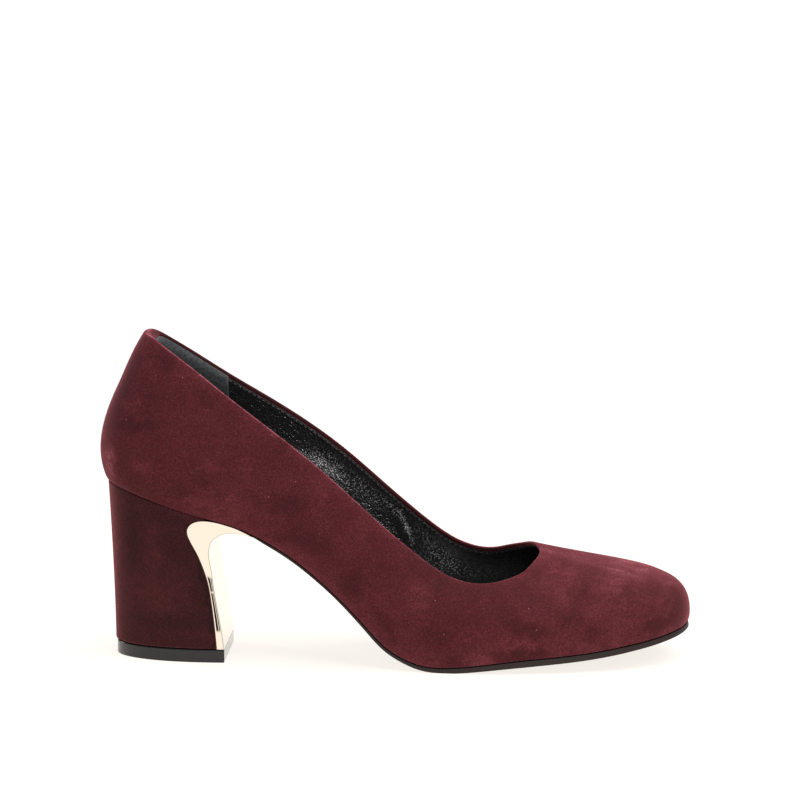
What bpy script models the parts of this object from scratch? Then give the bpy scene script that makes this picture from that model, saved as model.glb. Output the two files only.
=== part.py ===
"""Women's court shoe with a covered block heel, for the right foot, at its real size.

Pieces: one hollow upper, insole, outsole, heel block, heel plate and top piece.
Metres, +Z up, +X towards the toe, -Y the outer side of the foot. The floor is z = 0, and the
origin lies on it under the middle of the shoe. Until a piece is placed, x counts from the
back of the shoe and y from the line between heel and toe.
"""
from collections import namedtuple

import bmesh
import bpy
import numpy as np

# Driving dimensions
LENGTH = 0.2335  # back of the counter to the tip of the toe
BALL_WIDTH = 0.0756  # across the feather edge at the ball of the foot
SEAT_HEIGHT = 0.0699  # bottom of the last at the back of the heel seat
BACK_HEIGHT = 0.1290  # topline at the back

# Thicknesses and clearances
GAP = 0.0003  # between pieces that meet
WALL = 0.0018  # suede, stiffener and lining together
LASTING_MARGIN = 0.0080  # edge of the upper that is turned in under the foot
FEATHER_ROUNDING = 0.0012  # corner between the wall and the turned-in edge
INSOLE_BOARD = 0.0022
INSOLE_INSET = 0.0026  # from the feather edge to the insole's rim
OUTSOLE_INSET = 0.0006  # from the feather edge to the outsole's rim

# Heel
LIFT_HEIGHT = 0.0052  # the top piece under the heel
HEEL_BOTTOM = LIFT_HEIGHT + GAP
HEEL_INSET = 0.0003  # from the feather edge to the heel's side at the seat
HEEL_BACK_LOW = 0.0054  # the heel's back line at its foot, from the back of the shoe
HEEL_BACK_CURVE = 1.5  # power of the back line's sweep up to the seat
HEEL_SIDE_CURVE = 1.5  # power of the sides' flare up to the seat
HEEL_FOOT_LENGTH = 0.0450
HEEL_FOOT_HALF = 0.0210
HEEL_FOOT_POWERS = (2.4, 0.56)  # roundness of the foot's D outline, along and across
LIFT_INSET = 0.0005  # from the heel's foot to the top piece's side

PERCENT = 0.01

# Bottom of the last in side view: percent of LENGTH, percent of SEAT_HEIGHT
Bottom = namedtuple("Bottom", "along height")
BOTTOM_LINE = [
    Bottom(-1.7, 102.1),
    Bottom(1.2, 100.4),
    Bottom(4.1, 98.1),
    Bottom(8.2, 93.8),
    Bottom(13.0, 88.5),
    Bottom(17.0, 84.4),
    Bottom(20.6, 81.2),
    Bottom(23.6, 78.2),
    Bottom(26.6, 74.0),
    Bottom(30.0, 67.9),
    Bottom(34.3, 58.5),
    Bottom(38.5, 47.0),
    Bottom(42.4, 35.0),
    Bottom(45.8, 23.4),
    Bottom(48.8, 13.4),
    Bottom(51.8, 7.4),
    Bottom(54.8, 3.9),
    Bottom(58.2, 3.0),
    Bottom(61.0, 3.5),
    Bottom(65.1, 5.1),
    Bottom(71.1, 7.7),
    Bottom(77.1, 9.5),
    Bottom(83.5, 11.6),
    Bottom(89.9, 14.8),
    Bottom(95.1, 17.7),
    Bottom(101.1, 22.0),
]

# Sections of the last from heel to toe, each with an outer (out) and an inner (in) side.
# feather and top_at: place along the shoe in percent of LENGTH
# feather_out, feather_in, top_out and top_in: half widths in percent of BALL_WIDTH
# rise: topline height in percent of BACK_HEIGHT
# flare: degrees that the wall leans out at the feather edge; lean: degrees that it leans in at the topline
# low and high: how far the wall keeps to those two directions, in percent of LENGTH
Section = namedtuple("Section", (
    "feather feather_out feather_in top_at_out top_at_in top_out top_in rise_out rise_in "
    "flare_out flare_in lean_out lean_in low high"))
SECTIONS = [Section(*row) for row in (
    (1.2, 0.0, 0.0, 8.2, 8.2, 0.0, 0.0, 100.2, 100.2, 25, 25, 31, 31, 7.3, 13.3),
    (2.8, 16.5, 16.5, 9.0, 9.0, 12.6, 12.6, 99.6, 99.6, 26, 26, 28, 28, 7.3, 12.4),
    (6.4, 25.9, 25.7, 11.6, 11.6, 20.1, 19.8, 96.6, 96.4, 27, 27, 22, 22, 7.3, 11.6),
    (12.0, 31.0, 30.2, 15.8, 15.8, 25.7, 25.4, 91.5, 91.2, 27, 28, 17, 17, 7.3, 10.3),
    (18.4, 32.5, 30.3, 21.4, 21.4, 29.4, 28.8, 83.8, 84.5, 26, 30, 14, 14, 7.3, 9.0),
    (25.7, 32.8, 27.2, 27.8, 27.8, 32.0, 31.2, 75.1, 77.4, 24, 33, 12, 12, 7.3, 7.7),
    (33.4, 33.6, 24.9, 34.3, 34.3, 33.9, 33.1, 66.2, 69.8, 22, 36, 12, 12, 7.3, 7.3),
    (41.1, 36.5, 25.9, 41.1, 41.1, 35.4, 34.4, 55.9, 60.6, 21, 35, 14, 13, 7.3, 7.3),
    (48.4, 41.5, 31.7, 47.8, 47.8, 36.8, 35.4, 45.0, 50.0, 20, 28, 22, 20, 6.4, 6.9),
    (55.7, 46.6, 40.2, 54.2, 54.2, 37.6, 36.2, 35.4, 40.1, 19, 22, 34, 32, 5.6, 6.0),
    (63.0, 49.5, 46.3, 60.2, 60.2, 37.3, 35.7, 28.3, 32.7, 17, 18, 46, 44, 5.1, 5.6),
    (69.8, 50.0, 48.9, 65.3, 65.3, 34.9, 33.1, 26.4, 30.4, 14, 14, 55, 52, 4.7, 6.4),
    (76.7, 47.9, 48.9, 69.0, 68.7, 29.0, 27.8, 27.1, 31.7, 11, 11, 62, 61, 5.1, 9.0),
    (83.5, 43.7, 47.1, 71.8, 71.0, 22.2, 21.4, 28.7, 33.1, 9, 9, 68, 67.5, 6.0, 12.4),
    (89.7, 37.8, 43.7, 73.3, 72.4, 15.7, 15.3, 30.7, 34.1, 7, 7, 72, 72, 7.1, 15.8),
    (95.0, 28.3, 36.5, 74.2, 73.3, 9.8, 10.1, 32.1, 34.5, 6, 6, 74.5, 75, 9.0, 18.3),
    (98.6, 14.6, 23.3, 74.6, 74.0, 4.2, 5.3, 33.0, 34.3, 6, 6, 76, 76.2, 9.7, 19.3),
    (99.9, -4.8, 4.8, 74.5, 74.5, -0.8, 0.8, 33.6, 33.6, 6, 6, 76.6, 76.6, 9.8, 19.5),
)]

# Outsole thickness from the heel's front to the toe: percent of LENGTH, metres
SoleThickness = namedtuple("SoleThickness", "along thickness")
SOLE_THICKNESS = [
    SoleThickness(26.7, 0.00090),
    SoleThickness(34.0, 0.00085),
    SoleThickness(40.0, 0.00070),
    SoleThickness(45.0, 0.00095),
    SoleThickness(50.0, 0.00120),
    SoleThickness(55.5, 0.00170),
    SoleThickness(58.0, 0.00195),
    SoleThickness(61.0, 0.00210),
    SoleThickness(66.0, 0.00230),
    SoleThickness(72.0, 0.00260),
    SoleThickness(88.0, 0.00250),
    SoleThickness(95.0, 0.00220),
    SoleThickness(100.0, 0.00200),
]

# The metal plate on the heel's front, from the tip of its tongue under the waist down to the top piece.
# outer is the edge against the seat and the heel block, inner the edge of the open arch.
# along: percent of LENGTH; share: percent of the heel's height at that place
PlateRow = namedtuple("PlateRow", "outer_along outer_share inner_along inner_share")
PLATE_ROWS = [
    PlateRow(26.6, 100.0, 26.3, 98.0),
    PlateRow(23.7, 100.0, 24.5, 96.9),
    PlateRow(20.9, 100.0, 22.2, 93.4),
    PlateRow(18.4, 98.6, 20.7, 89.2),
    PlateRow(16.5, 94.5, 19.8, 84.8),
    PlateRow(15.6, 87.5, 19.4, 80.3),
    PlateRow(16.1, 80.8, 19.2, 75.1),
    PlateRow(17.1, 73.5, 19.3, 69.2),
    PlateRow(18.1, 64.0, 19.6, 61.6),
    PlateRow(19.0, 51.8, 19.9, 51.0),
    PlateRow(19.5, 39.1, 20.3, 39.0),
    PlateRow(20.0, 20.4, 21.0, 20.3),
    PlateRow(20.4, 0.0, 21.6, 0.0),
]
PLATE_HEAD_ROW = 3  # the row where the block's thin edge above the plate ends

# Mesh density
AROUND = 108  # points round the upper
UP_THE_WALL = 13  # rows from feather edge to topline
ALONG_SOLE = 60
ALONG_HEEL = 16
DOWN_THE_PLATE = 26
OUTLINE_SAMPLES = 1400
FEATHER_SHARE = 0.6  # sections are spaced on a line this much nearer the feather edge
FIRST_WALL_ROW = 0.04  # share of the wall where it leaves the feather edge's rounding
HEEL_CROWDING = 1.8  # power that crowds points to the heel's round back
TONGUE_ROWS = DOWN_THE_PLATE // 4
SHARP_ANGLE = 35  # degrees between faces that stay a crisp edge
MERGE_DISTANCE = 0.000001


def spline(knots, values, at):
    """Cubic curve with free ends through the values at the knots, read at these places."""
    count = len(knots)
    step = np.diff(knots)
    rise = np.diff(values) / step
    system = np.eye(count)
    bend = np.zeros(count)
    for i in range(1, count - 1):
        system[i, i - 1:i + 2] = step[i - 1], 2 * (step[i - 1] + step[i]), step[i]
        bend[i] = 6 * (rise[i] - rise[i - 1])
    bend = np.linalg.solve(system, bend)
    k = np.clip(np.searchsorted(knots, at) - 1, 0, count - 2)
    s = at - knots[k]
    slope = rise[k] - step[k] * (2 * bend[k] + bend[k + 1]) / 6
    return values[k] + slope * s + bend[k] / 2 * s**2 + (bend[k + 1] - bend[k]) / (6 * step[k]) * s**3


def column(table, name):
    """One named column of a table as an array."""
    return np.array([getattr(row, name) for row in table], dtype=float)


def bottom_z(x):
    """Height of the last's bottom at x."""
    along = column(BOTTOM_LINE, "along") * PERCENT * LENGTH
    height = column(BOTTOM_LINE, "height") * PERCENT * SEAT_HEIGHT
    return spline(along, height, x)


def bottom_slope(x):
    """Slope of the last's bottom at x."""
    reach = 0.0005
    return (bottom_z(x + reach) - bottom_z(x - reach)) / (2 * reach)


def on_bottom(x, y, height):
    """Points at this height above the last's bottom, measured square to it."""
    slope = bottom_slope(x)
    size = np.sqrt(1 + slope**2)
    return np.stack([x - height * slope / size, y, bottom_z(x) + height / size], -1)


def round_the_shoe(outer, inner):
    """One column of the sections as a loop: the outer side from heel to toe, then the inner side back."""
    return np.concatenate([column(SECTIONS, outer), column(SECTIONS[-2:0:-1], inner)])


SIDE = np.concatenate([-np.ones(len(SECTIONS)), np.ones(len(SECTIONS) - 2)])
LOOPS = {
    "feather_x": PERCENT * LENGTH * round_the_shoe("feather", "feather"),
    "feather_y": PERCENT * BALL_WIDTH * SIDE * round_the_shoe("feather_out", "feather_in"),
    "top_x": PERCENT * LENGTH * round_the_shoe("top_at_out", "top_at_in"),
    "top_y": PERCENT * BALL_WIDTH * SIDE * round_the_shoe("top_out", "top_in"),
    "top_z": PERCENT * BACK_HEIGHT * round_the_shoe("rise_out", "rise_in"),
    "flare": np.radians(round_the_shoe("flare_out", "flare_in")),
    "lean": np.radians(round_the_shoe("lean_out", "lean_in")),
    "low": PERCENT * LENGTH * round_the_shoe("low", "low"),
    "high": PERCENT * LENGTH * round_the_shoe("high", "high"),
}


def loop_knots():
    """Distance travelled round the shoe at each section, between feather edge and topline, and its total."""
    x = FEATHER_SHARE * LOOPS["feather_x"] + (1 - FEATHER_SHARE) * LOOPS["top_x"]
    y = FEATHER_SHARE * LOOPS["feather_y"] + (1 - FEATHER_SHARE) * LOOPS["top_y"]
    step = np.hypot(np.diff(np.append(x, x[0])), np.diff(np.append(y, y[0])))
    return np.append(0, np.cumsum(step[:-1])), step.sum()


KNOTS, ROUND_LENGTH = loop_knots()


def around(name, t):
    """One of the loops at distances t round the shoe, continued past its ends to close smoothly."""
    wrap = 4
    knots = np.concatenate([KNOTS[-wrap:] - ROUND_LENGTH, KNOTS, KNOTS[:wrap] + ROUND_LENGTH])
    values = LOOPS[name]
    values = np.concatenate([values[-wrap:], values, values[:wrap]])
    return spline(knots, values, np.mod(t, ROUND_LENGTH))


def outward(name, t):
    """Unit vector in plan that points out of the loop called name."""
    reach = 0.0004
    dx = around(name + "_x", t + reach) - around(name + "_x", t - reach)
    dy = around(name + "_y", t + reach) - around(name + "_y", t - reach)
    size = np.hypot(dx, dy)
    return dy / size, -dx / size


def wall_surface(t, v):
    """Outside of the upper at distance t round the shoe, v from the feather edge (0) to the topline (1).

    Each profile is a cubic arc: it leaves the feather edge at the flare angle and reaches
    the topline at the lean angle.
    """
    foot_x = around("feather_x", t)
    foot = np.stack([foot_x, around("feather_y", t), bottom_z(foot_x)], -1)
    top = np.stack([around("top_x", t), around("top_y", t), around("top_z", t)], -1)
    flare = around("flare", t)
    lean = around("lean", t)
    out_x, out_y = outward("feather", t)
    low = np.stack([out_x * np.sin(flare), out_y * np.sin(flare), np.cos(flare)], -1)
    low = foot + around("low", t)[..., None] * low
    out_x, out_y = outward("top", t)
    high = np.stack([out_x * np.sin(lean), out_y * np.sin(lean), -np.cos(lean)], -1)
    high = top + around("high", t)[..., None] * high
    v = v[..., None]
    return (1 - v)**3 * foot + 3 * v * (1 - v)**2 * low + 3 * v**2 * (1 - v) * high + v**3 * top


def feather_plan(t, inset):
    """The feather edge in plan, moved inwards."""
    out_x, out_y = outward("feather", t)
    return around("feather_x", t) - inset * out_x, around("feather_y", t) - inset * out_y


def feather_sides(inset):
    """The feather edge moved inwards, as x and y of the outer and of the inner side, heel to toe."""
    t = np.linspace(0, ROUND_LENGTH, OUTLINE_SAMPLES, endpoint=False)
    x, y = feather_plan(t, inset)
    heel = np.argmin(x)
    x = np.roll(x, -heel)
    y = np.roll(y, -heel)
    toe = np.argmax(x)
    outer = (x[:toe + 1], y[:toe + 1])
    inner = (np.append(x[toe:], x[0])[::-1], np.append(y[toe:], y[0])[::-1])
    return outer, inner


def middle_of_shoe():
    """Middle of the upper's length and width."""
    t = np.linspace(0, ROUND_LENGTH, AROUND, endpoint=False)[:, None]
    v = np.linspace(0, 1, UP_THE_WALL)[None, :]
    points = wall_surface(t + 0 * v, v + 0 * t).reshape(-1, 3)
    middle = (points.min(0) + points.max(0)) / 2
    return np.array([middle[0], middle[1], 0.0])


MIDDLE = middle_of_shoe()


def material(name, colour, roughness, metallic=0.0):
    """Plain finish with the piece's colour."""
    finish = bpy.data.materials.new(name)
    finish.use_nodes = True
    shader = finish.node_tree.nodes["Principled BSDF"]
    shader.inputs["Base Color"].default_value = (*colour, 1.0)
    shader.inputs["Roughness"].default_value = roughness
    shader.inputs["Metallic"].default_value = metallic
    return finish


def add_piece(name, points, faces, finish, collection):
    """Object from points and faces, moved so that the origin is under the middle of the shoe."""
    mesh = bpy.data.meshes.new(name)
    mesh.from_pydata((points - MIDDLE).tolist(), [], faces)
    mesh.materials.append(finish)
    piece = bpy.data.objects.new(name, mesh)
    collection.objects.link(piece)
    return piece


def close_piece(piece):
    """Merges the points where the two sides of a piece meet, turns its faces out and shades it smooth."""
    shape = bmesh.new()
    shape.from_mesh(piece.data)
    bmesh.ops.remove_doubles(shape, verts=shape.verts, dist=MERGE_DISTANCE)
    bmesh.ops.recalc_face_normals(shape, faces=shape.faces)
    shape.to_mesh(piece.data)
    shape.free()
    piece.data.shade_smooth()
    piece.data.set_sharp_from_angle(angle=np.radians(SHARP_ANGLE))


def ladder_piece(name, outer, inner, finish, collection):
    """Closed piece between two grids of points, one on each side of the foot.

    Both grids run from heel to toe, and at each place from the bottom up. Rungs between them
    close the bottom, the top and both ends.
    """
    along, up = outer.shape[:2]
    out = np.arange(along * up).reshape(along, up)
    inn = out + along * up
    faces = []
    for i in range(along - 1):
        for j in range(up - 1):
            faces.append((out[i, j], out[i + 1, j], out[i + 1, j + 1], out[i, j + 1]))
            faces.append((inn[i, j + 1], inn[i + 1, j + 1], inn[i + 1, j], inn[i, j]))
        faces.append((out[i, 0], inn[i, 0], inn[i + 1, 0], out[i + 1, 0]))
        faces.append((out[i + 1, -1], inn[i + 1, -1], inn[i, -1], out[i, -1]))
    for j in range(up - 1):
        faces.append((out[0, j], out[0, j + 1], inn[0, j + 1], inn[0, j]))
        faces.append((inn[-1, j], inn[-1, j + 1], out[-1, j + 1], out[-1, j]))
    points = np.concatenate([outer.reshape(-1, 3), inner.reshape(-1, 3)])
    piece = add_piece(name, points, [[int(k) for k in face] for face in faces], finish, collection)
    close_piece(piece)
    return piece


def make_upper(collection):
    """The suede upper: a wall from its turned-in margin up to the topline, thickened inwards."""
    t = np.linspace(0, ROUND_LENGTH, AROUND, endpoint=False)
    rows = [on_bottom(*feather_plan(t, inset), 0.0) for inset in (LASTING_MARGIN, FEATHER_ROUNDING)]
    shares = np.linspace(FIRST_WALL_ROW, 1.0, UP_THE_WALL)
    rows += [wall_surface(t, np.full(AROUND, v)) for v in shares]
    grid = np.stack(rows, 1)
    up = grid.shape[1]
    faces = []
    for i in range(AROUND):
        after = (i + 1) % AROUND
        for j in range(up - 1):
            faces.append((i * up + j, after * up + j, after * up + j + 1, i * up + j + 1))
    suede = material("burgundy_suede", (0.107, 0.021, 0.026), 0.9)
    upper = add_piece("upper", grid.reshape(-1, 3), faces, suede, collection)
    upper.data.shade_smooth()
    wall = upper.modifiers.new("wall", "SOLIDIFY")
    wall.thickness = WALL
    wall.offset = -1.0
    wall.use_even_offset = True


def sole_grid(loops, places):
    """Grids of both sides of a sole piece.

    loops: (inset from the feather edge, height above the last's bottom) from the lowest up;
    places: shares of the loop's length from heel to toe.
    """
    outer_rows = []
    inner_rows = []
    for inset, height in loops:
        outer, inner = feather_sides(inset)
        x = outer[0][0] + places * (outer[0][-1] - outer[0][0])
        outer_rows.append(on_bottom(x, np.interp(x, *outer), height))
        inner_rows.append(on_bottom(x, np.interp(x, *inner), height))
    return np.stack(outer_rows, 1), np.stack(inner_rows, 1)


def make_insole(collection):
    """The board under the foot: its rim lies on the turned-in margin, its middle fills the opening."""
    rim = WALL + GAP
    loops = [
        (LASTING_MARGIN + GAP, 0.0),
        (LASTING_MARGIN + GAP, rim),
        (INSOLE_INSET, rim),
        (INSOLE_INSET, rim + INSOLE_BOARD),
    ]
    places = (1 - np.cos(np.linspace(0, np.pi, ALONG_SOLE))) / 2
    outer, inner = sole_grid(loops, places)
    leather = material("black_lining_leather", (0.012, 0.012, 0.013), 0.45)
    ladder_piece("insole", outer, inner, leather, collection)


def make_outsole(collection):
    """The thin sole from the plate's tongue to the toe, flat on the floor under the ball of the foot."""
    outline = feather_sides(OUTSOLE_INSET)
    ends = outline[0][0]
    start = PLATE_ROWS[0].outer_along * PERCENT * LENGTH + GAP
    start_share = (start - ends[0]) / (ends[-1] - ends[0])
    places = start_share + (1 - start_share) * np.sin(np.linspace(0, np.pi / 2, ALONG_SOLE))
    x = ends[0] + places * (ends[-1] - ends[0])
    along = column(SOLE_THICKNESS, "along") * PERCENT * LENGTH
    thickness = np.interp(x, along, column(SOLE_THICKNESS, "thickness"))
    outer, inner = sole_grid([(OUTSOLE_INSET, -GAP - thickness), (OUTSOLE_INSET, -GAP)], places)
    for side in (outer, inner):
        side[:, 0, 2] = np.maximum(side[:, 0, 2], 0.0)
    leather = material("dark_sole_leather", (0.020, 0.014, 0.012), 0.5)
    ladder_piece("outsole", outer, inner, leather, collection)


def seat_under(x):
    """Height of the heel's top, a gap below the last's bottom."""
    return bottom_z(x) - GAP * np.sqrt(1 + bottom_slope(x)**2)


def heel_z(x, share):
    """Height of a place on the heel: share 0 at the heel's foot, 1 at the seat."""
    return HEEL_BOTTOM + share * (seat_under(x) - HEEL_BOTTOM)


def heel_back(share):
    """The heel's back line: it sweeps back from the foot up to the seat."""
    top = feather_sides(HEEL_INSET)[0][0][0]
    return HEEL_BACK_LOW + (top - HEEL_BACK_LOW) * share**HEEL_BACK_CURVE


def foot_half(depth):
    """Half width of the heel's D-shaped foot at this depth in front of its back."""
    along, across = HEEL_FOOT_POWERS
    left = 1 - np.clip(depth / HEEL_FOOT_LENGTH, 0, 1)
    return HEEL_FOOT_HALF * (1 - left**along)**across


def heel_sides(x, share):
    """Points on both sides of the heel: the D of its foot blends into the seat's outline."""
    depth = np.maximum(x - heel_back(share), 0)
    blend = share**HEEL_SIDE_CURVE
    points = []
    for side, (seat_x, seat_y) in zip((-1, 1), feather_sides(HEEL_INSET)):
        seat = np.interp(seat_x[0] + depth, seat_x, seat_y)
        y = (1 - blend) * side * foot_half(depth) + blend * seat
        points.append(np.stack([x, y, heel_z(x, share)], -1))
    return points


def plate_edges():
    """Outer and inner edge of the plate as places along and shares of height, from the tongue's tip."""
    columns = [column(PLATE_ROWS, name) * PERCENT for name in PlateRow._fields]
    step = np.hypot(np.diff(columns[0]) * LENGTH, np.diff(columns[1]) * SEAT_HEIGHT)
    knots = np.append(0, np.cumsum(step))
    head = knots[PLATE_HEAD_ROW]
    tongue = np.linspace(0, head, TONGUE_ROWS, endpoint=False)
    at = np.append(tongue, np.linspace(head, knots[-1], DOWN_THE_PLATE))
    outer_x, outer_share, inner_x, inner_share = [spline(knots, values, at) for values in columns]
    return outer_x * LENGTH, np.clip(outer_share, 0, 1), inner_x * LENGTH, np.clip(inner_share, 0, 1)


def make_heel_plate(collection):
    """Polished plate on the heel's front with its tongue under the waist, as wide as the heel."""
    outer_x, outer_share, inner_x, inner_share = plate_edges()
    upper_edge = heel_sides(outer_x, outer_share)
    lower_edge = heel_sides(inner_x, inner_share)
    outer, inner = [np.stack([low, high], 1) for low, high in zip(lower_edge, upper_edge)]
    gold = material("pale_gold_metal", (0.91, 0.82, 0.66), 0.12, 1.0)
    ladder_piece("heel_plate", outer, inner, gold, collection)


def make_heel_block(collection):
    """The covered block: round at the back, its front cut to the plate's outer edge."""
    edge_x, edge_share, _, _ = plate_edges()
    edge_x = edge_x[TONGUE_ROWS:][::-1]
    edge_z = heel_z(edge_x, edge_share[TONGUE_ROWS:][::-1])
    run = np.gradient(edge_x)
    climb = np.gradient(edge_z)
    size = np.hypot(run, climb)
    front_x = edge_x - GAP * climb / size
    front_z = edge_z + GAP * run / size
    share = (front_z - HEEL_BOTTOM) / (seat_under(front_x) - HEEL_BOTTOM)
    share[0] = 0.0
    share = np.append(share, 1.0)
    front_x = np.append(front_x, front_x[-1])
    places = np.linspace(0, 1, ALONG_HEEL)[:, None]**HEEL_CROWDING
    x = heel_back(share) + places * (front_x - heel_back(share))
    outer, inner = heel_sides(x, share + 0 * x)
    suede = material("burgundy_heel_suede", (0.065, 0.016, 0.018), 0.9)
    ladder_piece("heel_block", outer, inner, suede, collection)


def make_top_piece(collection):
    """The lift that the heel stands on, a little smaller than the heel's foot."""
    places = np.linspace(0, 1, ALONG_HEEL)**HEEL_CROWDING
    depth = places * HEEL_FOOT_LENGTH
    front = PLATE_ROWS[-1].inner_along * PERCENT * LENGTH
    back = HEEL_BACK_LOW + LIFT_INSET
    x = back + places * (front - back)
    half = foot_half(depth) * (1 - LIFT_INSET / HEEL_FOOT_HALF)
    sides = []
    for side in (-1, 1):
        foot = np.stack([x, side * half, 0 * x], -1)
        top = np.stack([x, side * half, 0 * x + LIFT_HEIGHT], -1)
        sides.append(np.stack([foot, top], 1))
    rubber = material("black_lift_rubber", (0.03, 0.028, 0.028), 0.5)
    ladder_piece("top_piece", *sides, rubber, collection)


for old in list(bpy.data.objects):
    bpy.data.objects.remove(old)
shoe = bpy.data.collections.new("block_heel_court_shoe")
bpy.context.scene.collection.children.link(shoe)
make_upper(shoe)
make_insole(shoe)
make_outsole(shoe)
make_heel_block(shoe)
make_heel_plate(shoe)
make_top_piece(shoe)
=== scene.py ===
from collections import namedtuple

import bpy
import numpy as np
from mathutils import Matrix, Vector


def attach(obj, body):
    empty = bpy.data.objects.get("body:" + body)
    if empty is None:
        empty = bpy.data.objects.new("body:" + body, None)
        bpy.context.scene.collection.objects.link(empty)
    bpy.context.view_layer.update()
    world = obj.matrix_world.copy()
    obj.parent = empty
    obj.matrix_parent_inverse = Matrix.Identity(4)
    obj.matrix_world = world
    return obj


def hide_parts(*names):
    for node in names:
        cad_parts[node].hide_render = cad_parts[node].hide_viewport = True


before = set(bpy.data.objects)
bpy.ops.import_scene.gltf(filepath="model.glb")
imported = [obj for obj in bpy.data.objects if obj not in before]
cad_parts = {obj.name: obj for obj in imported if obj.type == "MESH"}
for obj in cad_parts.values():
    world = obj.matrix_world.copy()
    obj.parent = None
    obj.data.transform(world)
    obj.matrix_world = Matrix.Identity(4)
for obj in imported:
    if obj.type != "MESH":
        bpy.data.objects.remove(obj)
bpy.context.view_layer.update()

# Suede upper
# One piece of burgundy goat suede, pulled over the last and cemented down under its edge. At the
# topline it is folded over a tape and turned in, so that a narrow suede band shows inside.
MM = 0.001
PERCENT = 0.01
ORIGIN = np.array([0.11673036, -0.00055642, 0.0])  # the row's origin, counted from the back of the shoe
LENGTH = 0.2335  # back of the counter to the tip of the toe
BALL_WIDTH = 0.0756  # across the feather edge at the ball of the foot
SEAT_HEIGHT = 0.0699  # bottom of the last at the back of the heel seat
BACK_HEIGHT = 0.1290  # topline at the back
WALL = 1.8 * MM  # suede, stiffener and lining together
LASTING_MARGIN = 8.0 * MM  # edge of the upper that is turned in under the foot
MARGIN_ROW = 3.0 * MM  # a row of points part of the way across it
FEATHER_ROUNDING = 1.2 * MM
FIRST_WALL_ROW = 0.04  # share of the wall where it leaves the feather edge's rounding
SUEDE_BACK = 1.3 * MM  # depth of the suede and its stiffener, behind which the lining lies
FOLD_RADIUS = 0.78 * MM  # the suede's round fold at the topline
FOLD_TOP = 0.16 * MM  # how far the fold stands above the topline
BAND = 1.7 * MM  # the turned-in suede band, from the fold down to where it goes under the lining
BAND_TUCK = 0.4 * MM  # and how far it goes on there
PAD_IN = 2.6 * MM  # the collar is padded at the back: how far that swells it inwards and outwards
PAD_OUT = 1.0 * MM
PAD_REACH = 13.5 * MM  # how far the padding goes round to each side
PAD_FOOT = 0.70  # shares of the wall between which the padding grows to full
PAD_HEAD = 0.94
SHARP_ANGLE = np.radians(40)  # edges that bend more than this are shaded sharp
AROUND = 520  # points round the shoe
UP_THE_WALL = 76  # and from the sole up to the fold

# Bottom of the last in side view: percent of LENGTH, percent of SEAT_HEIGHT
Bottom = namedtuple("Bottom", "along height")
BOTTOM_LINE = [Bottom(*row) for row in (
    (-1.7, 102.1), (1.2, 100.4), (4.1, 98.1), (8.2, 93.8), (13.0, 88.5), (17.0, 84.4), (20.6, 81.2),
    (23.6, 78.2), (26.6, 74.0), (30.0, 67.9), (34.3, 58.5), (38.5, 47.0), (42.4, 35.0), (45.8, 23.4),
    (48.8, 13.4), (51.8, 7.4), (54.8, 3.9), (58.2, 3.0), (61.0, 3.5), (65.1, 5.1), (71.1, 7.7),
    (77.1, 9.5), (83.5, 11.6), (89.9, 14.8), (95.1, 17.7), (101.1, 22.0),
)]

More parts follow.
